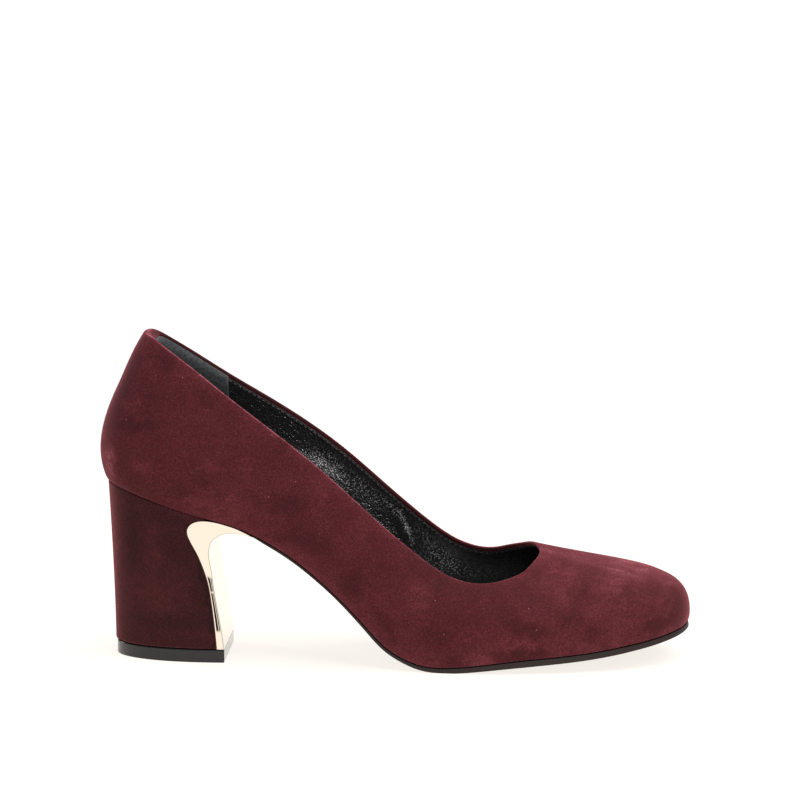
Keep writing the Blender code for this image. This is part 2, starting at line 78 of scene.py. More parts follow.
# Sections of the last from heel to toe, each with an outer (out) and an inner (in) side.
# feather and top_at: place along the shoe in percent of LENGTH
# feather_out, feather_in, top_out and top_in: half widths in percent of BALL_WIDTH
# rise: topline height in percent of BACK_HEIGHT
# flare: degrees that the wall leans out at the feather edge; lean: degrees that it leans in at the topline
# low and high: how far the wall keeps to those two directions, in percent of LENGTH
Section = namedtuple("Section", (
    "feather feather_out feather_in top_at_out top_at_in top_out top_in rise_out rise_in "
    "flare_out flare_in lean_out lean_in low high"))
SECTIONS = [Section(*row) for row in (
    (1.2, 0.0, 0.0, 8.2, 8.2, 0.0, 0.0, 100.2, 100.2, 25, 25, 31, 31, 7.3, 13.3),
    (2.8, 16.5, 16.5, 9.0, 9.0, 12.6, 12.6, 99.6, 99.6, 26, 26, 28, 28, 7.3, 12.4),
    (6.4, 25.9, 25.7, 11.6, 11.6, 20.1, 19.8, 96.6, 96.4, 27, 27, 22, 22, 7.3, 11.6),
    (12.0, 31.0, 30.2, 15.8, 15.8, 25.7, 25.4, 91.5, 91.2, 27, 28, 17, 17, 7.3, 10.3),
    (18.4, 32.5, 30.3, 21.4, 21.4, 29.4, 28.8, 83.8, 84.5, 26, 30, 14, 14, 7.3, 9.0),
    (25.7, 32.8, 27.2, 27.8, 27.8, 32.0, 31.2, 75.1, 77.4, 24, 33, 12, 12, 7.3, 7.7),
    (33.4, 33.6, 24.9, 34.3, 34.3, 33.9, 33.1, 66.2, 69.8, 22, 36, 12, 12, 7.3, 7.3),
    (41.1, 36.5, 25.9, 41.1, 41.1, 35.4, 34.4, 55.9, 60.6, 21, 35, 14, 13, 7.3, 7.3),
    (48.4, 41.5, 31.7, 47.8, 47.8, 36.8, 35.4, 45.0, 50.0, 20, 28, 22, 20, 6.4, 6.9),
    (55.7, 46.6, 40.2, 54.2, 54.2, 37.6, 36.2, 35.4, 40.1, 19, 22, 34, 32, 5.6, 6.0),
    (63.0, 49.5, 46.3, 60.2, 60.2, 37.3, 35.7, 28.3, 32.7, 17, 18, 46, 44, 5.1, 5.6),
    (69.8, 50.0, 48.9, 65.3, 65.3, 34.9, 33.1, 26.4, 30.4, 14, 14, 55, 52, 4.7, 6.4),
    (76.7, 47.9, 48.9, 69.0, 68.7, 29.0, 27.8, 27.1, 31.7, 11, 11, 62, 61, 5.1, 9.0),
    (83.5, 43.7, 47.1, 71.8, 71.0, 22.2, 21.4, 28.7, 33.1, 9, 9, 68, 67.5, 6.0, 12.4),
    (89.7, 37.8, 43.7, 73.3, 72.4, 15.7, 15.3, 30.7, 34.1, 7, 7, 72, 72, 7.1, 15.8),
    (95.0, 28.3, 36.5, 74.2, 73.3, 9.8, 10.1, 32.1, 34.5, 6, 6, 74.5, 75, 9.0, 18.3),
    (98.6, 14.6, 23.3, 74.6, 74.0, 4.2, 5.3, 33.0, 34.3, 6, 6, 76, 76.2, 9.7, 19.3),
    (99.9, -4.8, 4.8, 74.5, 74.5, -0.8, 0.8, 33.6, 33.6, 6, 6, 76.6, 76.6, 9.8, 19.5),
)]


def spline(knots, values, at):
    """Cubic curve with free ends through the values at the knots, read at these places."""
    count = len(knots)
    step = np.diff(knots)
    rise = np.diff(values) / step
    inner = np.arange(1, count - 1)
    system = np.eye(count)
    system[inner, inner - 1] = step[:-1]
    system[inner, inner] = 2 * (step[:-1] + step[1:])
    system[inner, inner + 1] = step[1:]
    bend = np.zeros(count)
    bend[inner] = 6 * np.diff(rise)
    bend = np.linalg.solve(system, bend)
    k = np.clip(np.searchsorted(knots, at) - 1, 0, count - 2)
    s = at - knots[k]
    slope = rise[k] - step[k] * (2 * bend[k] + bend[k + 1]) / 6
    return values[k] + slope * s + bend[k] / 2 * s**2 + (bend[k + 1] - bend[k]) / (6 * step[k]) * s**3


def column(table, name):
    """One named column of a table as an array."""
    return np.array([getattr(row, name) for row in table], dtype=float)


def bottom_z(x):
    """Height of the last's bottom at x: the cubic curve through BOTTOM_LINE."""
    along = column(BOTTOM_LINE, "along") * PERCENT * LENGTH
    return spline(along, column(BOTTOM_LINE, "height") * PERCENT * SEAT_HEIGHT, x)


def bottom_slope(x):
    """Slope of the last's bottom at x, from its heights half a millimetre behind and ahead."""
    reach = 0.5 * MM
    return (bottom_z(x + reach) - bottom_z(x - reach)) / (2 * reach)


def on_bottom(x, y, height):
    """Points at this height above the last's bottom, measured square to it."""
    slope = bottom_slope(x)
    size = np.sqrt(1 + slope**2)
    return np.stack([x - height * slope / size, y, bottom_z(x) + height / size], -1)


def round_the_shoe(outer, inner):
    """One column of the sections as a loop: the outer side from heel to toe, then the inner side back."""
    return np.concatenate([column(SECTIONS, outer), column(SECTIONS[-2:0:-1], inner)])


SIDE = np.concatenate([-np.ones(len(SECTIONS)), np.ones(len(SECTIONS) - 2)])
LOOPS = {
    "feather_x": PERCENT * LENGTH * round_the_shoe("feather", "feather"),
    "feather_y": PERCENT * BALL_WIDTH * SIDE * round_the_shoe("feather_out", "feather_in"),
    "top_x": PERCENT * LENGTH * round_the_shoe("top_at_out", "top_at_in"),
    "top_y": PERCENT * BALL_WIDTH * SIDE * round_the_shoe("top_out", "top_in"),
    "top_z": PERCENT * BACK_HEIGHT * round_the_shoe("rise_out", "rise_in"),
    "flare": np.radians(round_the_shoe("flare_out", "flare_in")),
    "lean": np.radians(round_the_shoe("lean_out", "lean_in")),
    "low": PERCENT * LENGTH * round_the_shoe("low", "low"),
    "high": PERCENT * LENGTH * round_the_shoe("high", "high"),
}
FEATHER_SHARE = 0.6  # sections are spaced on a line this much nearer the feather edge
knot_line = [
    FEATHER_SHARE * LOOPS["feather_" + axis] + (1 - FEATHER_SHARE) * LOOPS["top_" + axis] for axis in "xy"]
knot_steps = np.hypot(*[np.diff(np.append(line, line[0])) for line in knot_line])
KNOTS = np.append(0, np.cumsum(knot_steps[:-1]))
ROUND_LENGTH = knot_steps.sum()


def around(name, t):
    """One of the loops at distances t round the shoe, continued past its ends to close smoothly."""
    wrap = 4
    knots = np.concatenate([KNOTS[-wrap:] - ROUND_LENGTH, KNOTS, KNOTS[:wrap] + ROUND_LENGTH])
    values = LOOPS[name]
    return spline(knots, np.concatenate([values[-wrap:], values, values[:wrap]]), np.mod(t, ROUND_LENGTH))


def outward(name, t):
    """Unit vector in plan out of the loop called name: a small step along it, turned by a right angle."""
    reach = 0.4 * MM
    dx = around(name + "_x", t + reach) - around(name + "_x", t - reach)
    dy = around(name + "_y", t + reach) - around(name + "_y", t - reach)
    size = np.hypot(dx, dy)
    return dy / size, -dx / size


def last_wall(t, v):
    """The last's side at distance t round the shoe, v from the feather edge (0) to the topline (1).

    Each profile is a cubic arc: it leaves the feather edge at the flare angle and reaches the
    topline at the lean angle.
    """
    foot_x = around("feather_x", t)
    foot = np.stack([foot_x, around("feather_y", t), bottom_z(foot_x)], -1)
    top = np.stack([around("top_x", t), around("top_y", t), around("top_z", t)], -1)
    flare = around("flare", t)
    lean = around("lean", t)
    out_x, out_y = outward("feather", t)
    low = np.stack([out_x * np.sin(flare), out_y * np.sin(flare), np.cos(flare)], -1)
    low = foot + around("low", t)[..., None] * low
    out_x, out_y = outward("top", t)
    high = np.stack([out_x * np.sin(lean), out_y * np.sin(lean), -np.cos(lean)], -1)
    high = top + around("high", t)[..., None] * high
    v = v[..., None]
    return (1 - v)**3 * foot + 3 * v * (1 - v)**2 * low + 3 * v**2 * (1 - v) * high + v**3 * top


def unit(vectors):
    """Vectors divided by their lengths."""
    return vectors / np.linalg.norm(vectors, axis=-1, keepdims=True)


def wall_directions(t, v):
    """Unit vectors square to the last's side and up along it, from small steps both ways."""
    reach = 0.2 * MM
    share = 0.002
    along = last_wall(t + reach, v) - last_wall(t - reach, v)
    up = last_wall(t, v + share) - last_wall(t, v - share)
    return unit(np.cross(along, up)), unit(up)


def part_way(x, start, full):
    """How far x is on its way from start (0) to full (1), held between the two."""
    return np.clip((x - start) / (full - start), 0, 1)


def below_topline(t, drop):
    """The v that lies this far below the topline: 1 less the drop over the wall's length per unit of v."""
    share = 0.002
    step = last_wall(t, np.ones_like(t)) - last_wall(t, np.full_like(t, 1 - share))
    return 1 - drop * share / np.linalg.norm(step, axis=-1)


def padding(t, v):
    """Share of the collar's padding: a flat-topped bell round the back, times a smooth step up the wall."""
    from_back = np.minimum(np.mod(t, ROUND_LENGTH), np.mod(-t, ROUND_LENGTH))
    up = part_way(v, PAD_FOOT, PAD_HEAD)
    return np.exp(-(from_back / PAD_REACH)**4) * up**2 * (3 - 2 * up)


def fold_halves(t):
    """Half width and height of the topline's fold: its radius plus the padding's swell, halved upwards."""
    swell = (PAD_IN + PAD_OUT) / 2 * padding(t, np.ones_like(t))
    return FOLD_RADIUS + swell, FOLD_RADIUS + 0.5 * swell


def below_fold(t, drop):
    """The v that lies this far below the place where the fold begins."""
    return below_topline(t, fold_halves(t)[1] - FOLD_TOP + drop)


def inside_wall(t, v, depth):
    """Points this deep behind the last's side, square to it; the collar's padding adds to the depth."""
    depth = np.asarray(depth) + PAD_IN * padding(t, v)
    return last_wall(t, v) - depth[..., None] * wall_directions(t, v)[0]


def feather_plan(t, inset):
    """The feather edge in plan, moved inwards against its outward vector."""
    out_x, out_y = outward("feather", t)
    return around("feather_x", t) - inset * out_x, around("feather_y", t) - inset * out_y


def round_corner(before, corner, after, s):
    """Quadratic arc that rounds a corner, from before (s 0) to after (s 1)."""
    return (1 - s)**2 * before + 2 * s * (1 - s) * corner + s**2 * after


def mesh_piece(name, points, faces, finish):
    """Piece from a list of points, counted from the back of the shoe, and one of four-cornered faces."""
    mesh = bpy.data.meshes.new(name)
    mesh.vertices.add(len(points))
    mesh.vertices.foreach_set("co", (points - ORIGIN).astype(np.float32).ravel())
    mesh.loops.add(faces.size)
    mesh.loops.foreach_set("vertex_index", faces.astype(np.int32).ravel())
    mesh.polygons.add(len(faces))
    mesh.polygons.foreach_set("loop_start", np.arange(0, faces.size, 4, dtype=np.int32))
    mesh.update(calc_edges=True)
    mesh.shade_smooth()
    mesh.set_sharp_from_angle(angle=SHARP_ANGLE)
    mesh.materials.append(finish)
    piece = bpy.data.objects.new(name, mesh)
    bpy.context.scene.collection.objects.link(piece)
    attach(piece, "root")
    return piece


def grid_faces(along, across, wrap_along, wrap_across):
    """Faces between neighbours on a grid of points; where it wraps, the last row joins the first."""
    index = np.arange(along * across).reshape(along, across)
    index = np.append(index, index[:1], 0) if wrap_along else index
    index = np.append(index, index[:, :1], 1) if wrap_across else index
    return np.stack([index[:-1, :-1], index[1:, :-1], index[1:, 1:], index[:-1, 1:]], -1).reshape(-1, 4)


def grid_piece(name, grid, wrap_along, finish):
    """Piece from a grid of points that closes across, and along too where it wraps."""
    return mesh_piece(name, grid.reshape(-1, 3), grid_faces(*grid.shape[:2], wrap_along, True), finish)


def colour(code):
    """Linear colour from sRGB hex digits, by the sRGB curve."""
    srgb = np.array([int(code[i:i + 2], 16) for i in (0, 2, 4)]) / 255
    linear = np.where(srgb <= 0.04045, srgb / 12.92, ((srgb + 0.055) / 1.055)**2.4)
    return (*linear, 1.0)


def new_finish(name):
    """An empty material, its node tree and its shader."""
    finish = bpy.data.materials.new(name)
    finish.use_nodes = True
    return finish, finish.node_tree, finish.node_tree.nodes["Principled BSDF"]


def plug(tree, made, inputs):
    """Gives each of these inputs of a node its value, or links it from another node's socket."""
    for socket, value in inputs.items():
        if isinstance(value, bpy.types.NodeSocket):
            tree.links.new(value, made.inputs[socket])
        else:
            made.inputs[socket].default_value = value


def node(tree, kind, inputs=(), **settings):
    """Adds a node with its settings and its inputs."""
    made = tree.nodes.new(kind)
    for name, value in settings.items():
        setattr(made, name, value)
    plug(tree, made, dict(inputs))
    return made


def noise(tree, size, stretch=(1.0, 1.0, 1.0), **inputs):
    """Noise over the piece with features of this size, longer along an axis whose stretch is below 1."""
    place = node(tree, "ShaderNodeTexCoord").outputs["Object"]
    place = node(tree, "ShaderNodeMapping", {"Vector": place, "Scale": stretch}).outputs["Vector"]
    return node(tree, "ShaderNodeTexNoise", {"Vector": place, "Scale": 1 / size, **inputs}).outputs["Fac"]


def multiply_add(tree, value, factor, addend):
    """The value times the factor, plus the addend."""
    made = node(tree, "ShaderNodeMath", {0: value, 1: factor, 2: addend}, operation="MULTIPLY_ADD")
    return made.outputs[0]


def mixed(tree, factor, low, high):
    """Colour between two others, by the factor."""
    made = node(tree, "ShaderNodeMix", {"Factor": factor, "A": low, "B": high}, data_type="RGBA")
    return made.outputs["Result"]


def relief(tree, height, strength, depth):
    """The way the surface faces when these heights stand on it as bump."""
    made = node(tree, "ShaderNodeBump", {"Height": height, "Strength": strength, "Distance": depth})
    return made.outputs["Normal"]


def painted(tree, name):
    """The values that paint gives to the piece's points by this name."""
    return node(tree, "ShaderNodeAttribute", attribute_name=name).outputs["Fac"]


def paint(piece, name, values):
    """Gives each of the piece's points its value, which the finish reads by this name."""
    kept = piece.data.attributes.new(name, "FLOAT", "POINT")
    kept.data.foreach_set("value", values.astype(np.float32).ravel())


# Where the photograph shows the nap brushed flat and dark (below 0) or raised and pale, on the outer side;
# the pale mark low on the counter's back is a painted highlight, and the long dark mark high on the back is
# painted shade:
# x from the back of the shoe and z from the floor, half length and half height in mm, turn in degrees
Mark = namedtuple("Mark", "x z half_length half_height turn amount")
NAP_MARKS = [Mark(*row) for row in (
    # the first mark here paints shade high on the back
    (11.5, 109, 16, 2.6, 67, -0.2), (15.1, 94.4, 8, 2.6, 0, -0.15), (24, 95, 6, 1.2, 0, -0.08),
    (28.3, 120, 5.5, 5, 60, -0.09), (34.9, 69.4, 4, 2.6, 0, -0.1), (43, 73.8, 3.2, 2.2, 0, -0.1),
    (45, 106, 5, 4, -38, -0.11), (52.8, 80.6, 2.8, 2.2, 0, -0.08), (74.5, 51.3, 3, 3, 0, -0.1),
    (76.5, 64.5, 7, 4.4, 0, -0.17), (85, 50.1, 9, 4.6, -25, -0.15), (100.5, 33.8, 4.2, 5.4, 0, -0.16),
    (114.7, 18.9, 7, 2.6, -55, -0.18), (129, 43, 10, 5, -38, -0.15), (134.7, 13.5, 6.5, 5.5, -20, -0.12),
    (141.5, 4.6, 5, 3, 0, -0.2), (145.5, 22, 11, 5.5, -5, -0.08), (149, 34, 16, 5, -8, -0.17),
    (161.7, 24.4, 5.5, 4, -30, -0.13), (166, 6.8, 8, 3.4, 0, -0.3), (168, 36, 7, 4, 20, -0.08),
    (169.4, 18.2, 8, 2.8, -12, -0.18), (174, 32, 10, 5.5, 0, -0.1), (174.8, 9.2, 5, 2.8, 5, -0.17),
    (183.3, 40.8, 5, 2.5, -10, -0.12), (184, 26, 18, 5.5, 0, -0.06), (186.4, 22, 5.5, 2.2, 5, -0.12),
    (190, 28, 6, 3.2, 0, -0.14), (191.8, 33.8, 6, 3.6, 40, -0.16), (194, 40, 8, 2.6, -18, -0.1),
    (194.9, 15.8, 4.5, 3, 40, -0.1), (199.5, 10.5, 3, 2, 0, -0.1), (208.8, 29.5, 6.5, 2.6, 0, -0.14),
    (219.6, 32.2, 5.5, 3, 25, -0.13), (221, 17.4, 8, 2.6, 12, -0.24), (229.5, 24.4, 3.6, 7, 0, -0.2),
    # the first mark here paints the highlight down the counter's back
    (5, 80, 2.8, 9, 0, 0.4), (13.9, 102.5, 3, 4, 60, 0.1), (18, 118.5, 10, 3.5, 60, 0.05),
    (20.1, 77.5, 5, 3.6, -20, 0.13), (41.1, 65, 6.5, 2.2, -12, 0.13), (45.5, 80, 2.4, 2.2, 0, 0.07),
    (54.7, 66.3, 3.5, 1.6, -12, 0.1), (60, 62, 12, 4, -12, 0.07), (89.4, 71.2, 3.6, 3.6, 0, 0.08),
    (103, 55.2, 6, 5, -35, 0.07), (113, 22, 10, 8, -45, 0.07), (127.7, 30.6, 5.5, 8, 10, 0.09),
    (152, 7.4, 5, 3, 0, 0.12), (167.9, 11.9, 12, 2.2, -4, 0.12), (178.7, 30.6, 7, 6, 0, 0.06),
    (181.8, 15, 6, 4, 0, 0.06), (190, 45.5, 7, 2.4, -12, 0.15), (194, 24.4, 4, 4, 0, 0.05),
    (201, 33, 4.6, 3.4, -20, 0.05), (205.7, 18.2, 6, 4, 0, 0.07), (210.3, 36.1, 6, 2.4, -12, 0.04),
    (214, 37, 8, 2.6, -15, 0.08),
)]

# Soft hollows and ridges that lasting left in the suede, in the same columns, lifted by mm
CREASES = [Mark(*row) for row in (
    (15, 92.6, 9, 3, 0, -0.25), (51.8, 64.7, 12, 3, -10, 0.25), (77.5, 64.7, 9, 5, 0, -0.35),
    (111, 19.2, 8, 2.2, -55, -0.3), (127, 35, 4, 9, 20, 0.3), (140, 5.2, 5, 1.8, 0, -0.22),
    (162.5, 7.6, 7, 2.2, 0, -0.3), (184, 10.6, 13, 1.1, 6, 0.22), (190.8, 31.6, 4, 4.5, 45, -0.3),
    (205, 27, 8, 3, -10, -0.25), (222, 31, 4, 3.5, -45, -0.35),
)]


def soft_marks(points, marks, ragged=0.0):
    """Sum of soft ovals seen square to the shoe's side: each is a flat-topped bell over its own turned axes.

    Crossing waves 4 to 9 mm long move the points by up to about 1.6 times ragged mm, so that outlines wander.
    """
    x = points[..., 0] / MM
    z = points[..., 2] / MM
    moved_x = x + ragged * (np.sin(0.7 * z + 0.5 * x) + 0.6 * np.sin(1.5 * x - 0.9 * z + 2))
    moved_z = z + ragged * (np.sin(0.8 * x - 0.4 * z + 1) + 0.6 * np.sin(1.3 * z + 1.1 * x))
    x = moved_x[..., None] - column(marks, "x")
    z = moved_z[..., None] - column(marks, "z")
    turn = np.radians(column(marks, "turn"))
    along = (x * np.cos(turn) + z * np.sin(turn)) / column(marks, "half_length")
    across = (z * np.cos(turn) - x * np.sin(turn)) / column(marks, "half_height")
    return (column(marks, "amount") * np.exp(-(along**2 + across**2)**1.5)).sum(-1)


# Goat suede, buffed and brushed: the short nap lies in patches that catch the light differently,
# it pales where it is seen at a slant, and a few loose fibres catch the light as pale specks.
# The nap's hairs are 0.05 mm wide and are drawn as a 0.65 mm fleck so that they show.
NAP_PATCH = 19 * MM
NAP_STROKE = 6 * MM
NAP_FLECK = 0.65 * MM
PATCH_WEIGHT = 0.20  # how far each of these three moves the tone, and where it starts
STROKE_WEIGHT = 0.26
FLECK_WEIGHT = 1.25
TONE_START = -0.47
SPECK_SPACING = 7 * MM
SPECK_SIZE = 0.035  # share of the spacing


def suede_finish(name, tones, sheen):
    """Suede in four tones, chosen by noise in patches, brush strokes and flecks; loose fibres are specks."""
    finish, tree, shader = new_finish(name)
    place = node(tree, "ShaderNodeTexCoord").outputs["Object"]
    patch = noise(tree, NAP_PATCH, Detail=2.0, Roughness=0.55, Distortion=0.6)
    stroke = noise(tree, NAP_STROKE, (0.55, 1.0, 1.2), Detail=5.0, Roughness=0.6, Distortion=0.8)
    fleck = noise(tree, NAP_FLECK, Detail=2.0, Roughness=0.9)
    broken = multiply_add(tree, stroke, 1.6, 0.2)
    tone = multiply_add(tree, patch, PATCH_WEIGHT, TONE_START)
    tone = multiply_add(tree, stroke, STROKE_WEIGHT, tone)
    tone = multiply_add(tree, fleck, FLECK_WEIGHT, tone)
    # the attribute adds the nap's marks and painted light and shade to the tone
    tone = multiply_add(tree, painted(tree, "nap_and_painted_light"), broken, tone)
    ramp = node(tree, "ShaderNodeValToRGB", {"Fac": tone})
    ramp.color_ramp.elements[0].position = 0.05
    ramp.color_ramp.elements[0].color = colour(tones[0])
    ramp.color_ramp.elements[1].color = colour(tones[3])
    ramp.color_ramp.elements.new(0.40).color = colour(tones[1])
    ramp.color_ramp.elements.new(0.80).color = colour(tones[2])
    fibre = node(tree, "ShaderNodeTexVoronoi", {"Vector": place, "Scale": 1 / SPECK_SPACING})
    speck = node(tree, "ShaderNodeMapRange", {
        "Value": fibre.outputs["Distance"], "From Min": SPECK_SIZE, "From Max": 0.6 * SPECK_SIZE,
        "To Max": 0.45})
    specked = mixed(tree, speck.outputs["Result"], ramp.outputs["Color"], colour("b59096"))
    plug(tree, shader, {
        "Base Color": specked, "Normal": relief(tree, fleck, 0.45, 0.25 * MM), "Roughness": 0.95,
        "Specular IOR Level": 0.15, "Sheen Weight": sheen, "Sheen Roughness": 0.38,
        "Sheen Tint": colour("d87680")})
    return finish


MARKS_FULL = -0.25  # marks and creases fade where the wall turns to the inner side, between these leans
MARKS_GONE = 0.375
MARKS_RAGGED = 0.9  # mm
SETTLE_HEAD = 0.08  # shares of the wall over which creases die out below the fold and above the sole
SETTLE_FOOT = 0.03
TOP_PAINTED_LIGHT = 0.30  # painted light: how much paler the vamp is painted where it faces upwards, from this lean on
TOP_LEAN = 0.25
CREST_PAINTED_HIGHLIGHT = 0.21  # and a painted highlight: how much paler still along its crest, found by its lean to the side and upwards
CREST_SIDE = 0.15
CREST_FADE = 0.45
CREST_UP = 0.6
CREST_UP_FULL = 0.9
VAMP_START = 150 * MM
VAMP_FULL = 185 * MM
EDGE_PAINTED_HIGHLIGHT = 0.16  # a painted highlight along the outside of the topline, fading down the wall
EDGE_FADE = 2.3 * MM
FOOT_PAINTED_LIGHT = 0.17  # and painted light from the floor along the sole in front of the heel
FOOT_FADE = 7 * MM
FOOT_START = 36 * MM
FOOT_FULL = 48 * MM
FOLD_ANGLES = np.radians([0, 40, 75, 100, 180])
FOLD_PAINTED_LIGHT_AND_SHADE = [0.0, 0.55, 0.45, -0.25, -0.25]  # a painted highlight over the fold's outside, and painted shade inside it and down the band

# Rows of points round the shoe: the lasting margin, round the feather edge, up the wall, over the fold,
# down the band, and back down behind the lining
t = np.linspace(0, ROUND_LENGTH, AROUND, endpoint=False)
fold_v = below_fold(t, 0.0)
fold_out, fold_up = wall_directions(t, fold_v)
half_width, half_height = [half[:, None] for half in fold_halves(t)]
fold_middle = last_wall(t, fold_v) + (PAD_OUT * padding(t, fold_v)[:, None] - half_width) * fold_out
margin_insets = (LASTING_MARGIN, MARGIN_ROW, FEATHER_ROUNDING)
margin = [on_bottom(*feather_plan(t, inset), 0.0) for inset in margin_insets]
first_row = last_wall(t, np.full_like(t, FIRST_WALL_ROW))
feather = on_bottom(*feather_plan(t, 0.0), 0.0)
rounding = [round_corner(margin[-1], feather, first_row, s) for s in (0.25, 0.5, 0.75)]
wall_shares = np.linspace(0, 1, UP_THE_WALL)
wall_v = FIRST_WALL_ROW + wall_shares * (fold_v[:, None] - FIRST_WALL_ROW)
wall_t = t[:, None] + 0 * wall_v
wall = last_wall(wall_t, wall_v)
wall_out = wall_directions(wall_t, wall_v)[0]
facing_in = wall_out[..., 1]
facing_up = wall_out[..., 2]
outer_side = part_way(facing_in, MARKS_GONE, MARKS_FULL)
settle = np.clip((1 - wall_shares) / SETTLE_HEAD, 0, 1) * np.clip(wall_shares / SETTLE_FOOT, 0, 1)
swelling = MM * soft_marks(wall, CREASES) * outer_side * settle + PAD_OUT * padding(wall_t, wall_v)
wall_rows = list(np.moveaxis(wall + swelling[..., None] * wall_out, 1, 0))
turns = np.linspace(0, np.pi, 11)[1:]
fold = [fold_middle + half_width * np.cos(a) * fold_out + half_height * np.sin(a) * fold_up for a in turns]
drops = np.linspace(0, BAND, 6)[1:]
band = [inside_wall(t, below_fold(t, drop), 2 * FOLD_RADIUS) for drop in drops]
behind_top = below_fold(t, BAND + BAND_TUCK)
behind = [
    inside_wall(t, behind_top + s * (FIRST_WALL_ROW - behind_top), SUEDE_BACK) for s in np.linspace(0, 1, 14)]
margin_top = [on_bottom(*feather_plan(t, inset), SUEDE_BACK) for inset in (MARGIN_ROW, LASTING_MARGIN)]
upper_grid = np.stack(margin + rounding + wall_rows + fold + band + behind + margin_top, 1)

# The nap's tone on each row, together with painted light and shade
nap_marks = soft_marks(wall, NAP_MARKS, MARKS_RAGGED) * outer_side
on_vamp = part_way(wall[..., 0], VAMP_START, VAMP_FULL)
on_crest = np.clip(1 - abs(facing_in - CREST_SIDE) / CREST_FADE, 0, 1)
on_crest *= part_way(facing_up, CREST_UP, CREST_UP_FULL)
# Painted light: the vamp paler where it faces upwards, and a painted highlight along its crest
painted_vamp_light = on_vamp * (TOP_PAINTED_LIGHT * np.clip(facing_up - TOP_LEAN, 0, 1) + CREST_PAINTED_HIGHLIGHT * on_crest)
wall_height = np.linalg.norm(np.diff(wall, axis=1), axis=-1).sum(-1, keepdims=True)
# Painted highlight along the rounded topline
painted_edge_highlight = EDGE_PAINTED_HIGHLIGHT * np.exp(-(1 - wall_shares) * wall_height / EDGE_FADE)
ahead_of_heel = part_way(wall[..., 0], FOOT_START, FOOT_FULL)
# Painted light from the floor, paler near the sole
painted_floor_light = FOOT_PAINTED_LIGHT * ahead_of_heel * np.exp(-wall_shares * wall_height / FOOT_FADE)
wall_nap_and_light = nap_marks + painted_vamp_light + painted_edge_highlight + painted_floor_light
wall_start = len(margin) + len(rounding)
fold_start = wall_start + len(wall_rows)
band_start = fold_start + len(fold)
tone = np.zeros(upper_grid.shape[:2])
tone[:, :wall_start] = wall_nap_and_light[:, :1]
tone[:, wall_start:fold_start] = wall_nap_and_light
# Painted highlight on the fold's outside, painted shade inside it and on the band
tone[:, fold_start:band_start] = np.interp(turns, FOLD_ANGLES, FOLD_PAINTED_LIGHT_AND_SHADE)
tone[:, band_start:] = FOLD_PAINTED_LIGHT_AND_SHADE[-1]
burgundy_suede = suede_finish("goat_suede_burgundy", ("331315", "4a1b1f", "6a2f36", "95555e"), 0.42)
upper = grid_piece("suede_upper", upper_grid, True, burgundy_suede)
paint(upper, "nap_and_painted_light", tone)
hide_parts("upper")

# Lining
# Thin black sheepskin with a shiny crushed grain, pasted inside the suede. Its cut edge lies on the
# turned-in band and is sewn down there; its foot ends under the sock.
LINING_TOP = 1.28 * MM  # cut edge, below the fold
LINING_FACE = WALL
LINING_BACK = 1.36 * MM
LINING_FOOT = 0.05  # share of the wall where it turns in under the sock
LINING_TURN_IN = 2.5 * MM
GRAIN_CELL = 0.8 * MM
GRAIN_WANDER = 2.5 * MM  # waves that bend the cells' outlines, and how far
GRAIN_BEND = 1.2 * MM
GRAIN_CREASE = 5 * MM
GLINT_TOPS = 1.0  # painted glint at which the tops of the grain are painted grey, and the hollows begin to be
GLINT_THROUGH = 1.6
GLINT_RAGGED = 0.25  # mm

# Folds that the lining makes inside the inner side where the shoe bends, raised by mm
LINING_FOLDS = [Mark(*row) for row in (
    (120, 43, 9, 1.8, -65, 0.6), (127, 42, 7, 1.6, -62, 0.3), (136, 33, 6, 1.8, -58, 0.45),
    (85, 70, 9, 3, -35, 0.4),
)]

# Painted glints: where the tops of the grain are painted grey for the lamps' glints on the glossy grain, by
# share
LINING_PAINTED_GLINTS = [Mark(*row) for row in (
    (120.2, 45.8, 9, 1, -73, 1.6), (115, 54, 5.5, 2, -45, 0.85), (134, 34, 8, 5.5, -40, 0.9),
    (87.5, 71.2, 9.5, 4.6, -38, 1.25), (104.5, 61.5, 10, 3, -40, 0.65), (97, 65.5, 7, 3.5, -40, 0.4),
    (74, 77, 6, 2.5, -38, 0.55), (127, 43, 7, 2.6, -52, 0.5), (142, 29, 6.5, 4, -25, 0.5),
    (151, 28, 7, 3, -10, 0.22),
)]


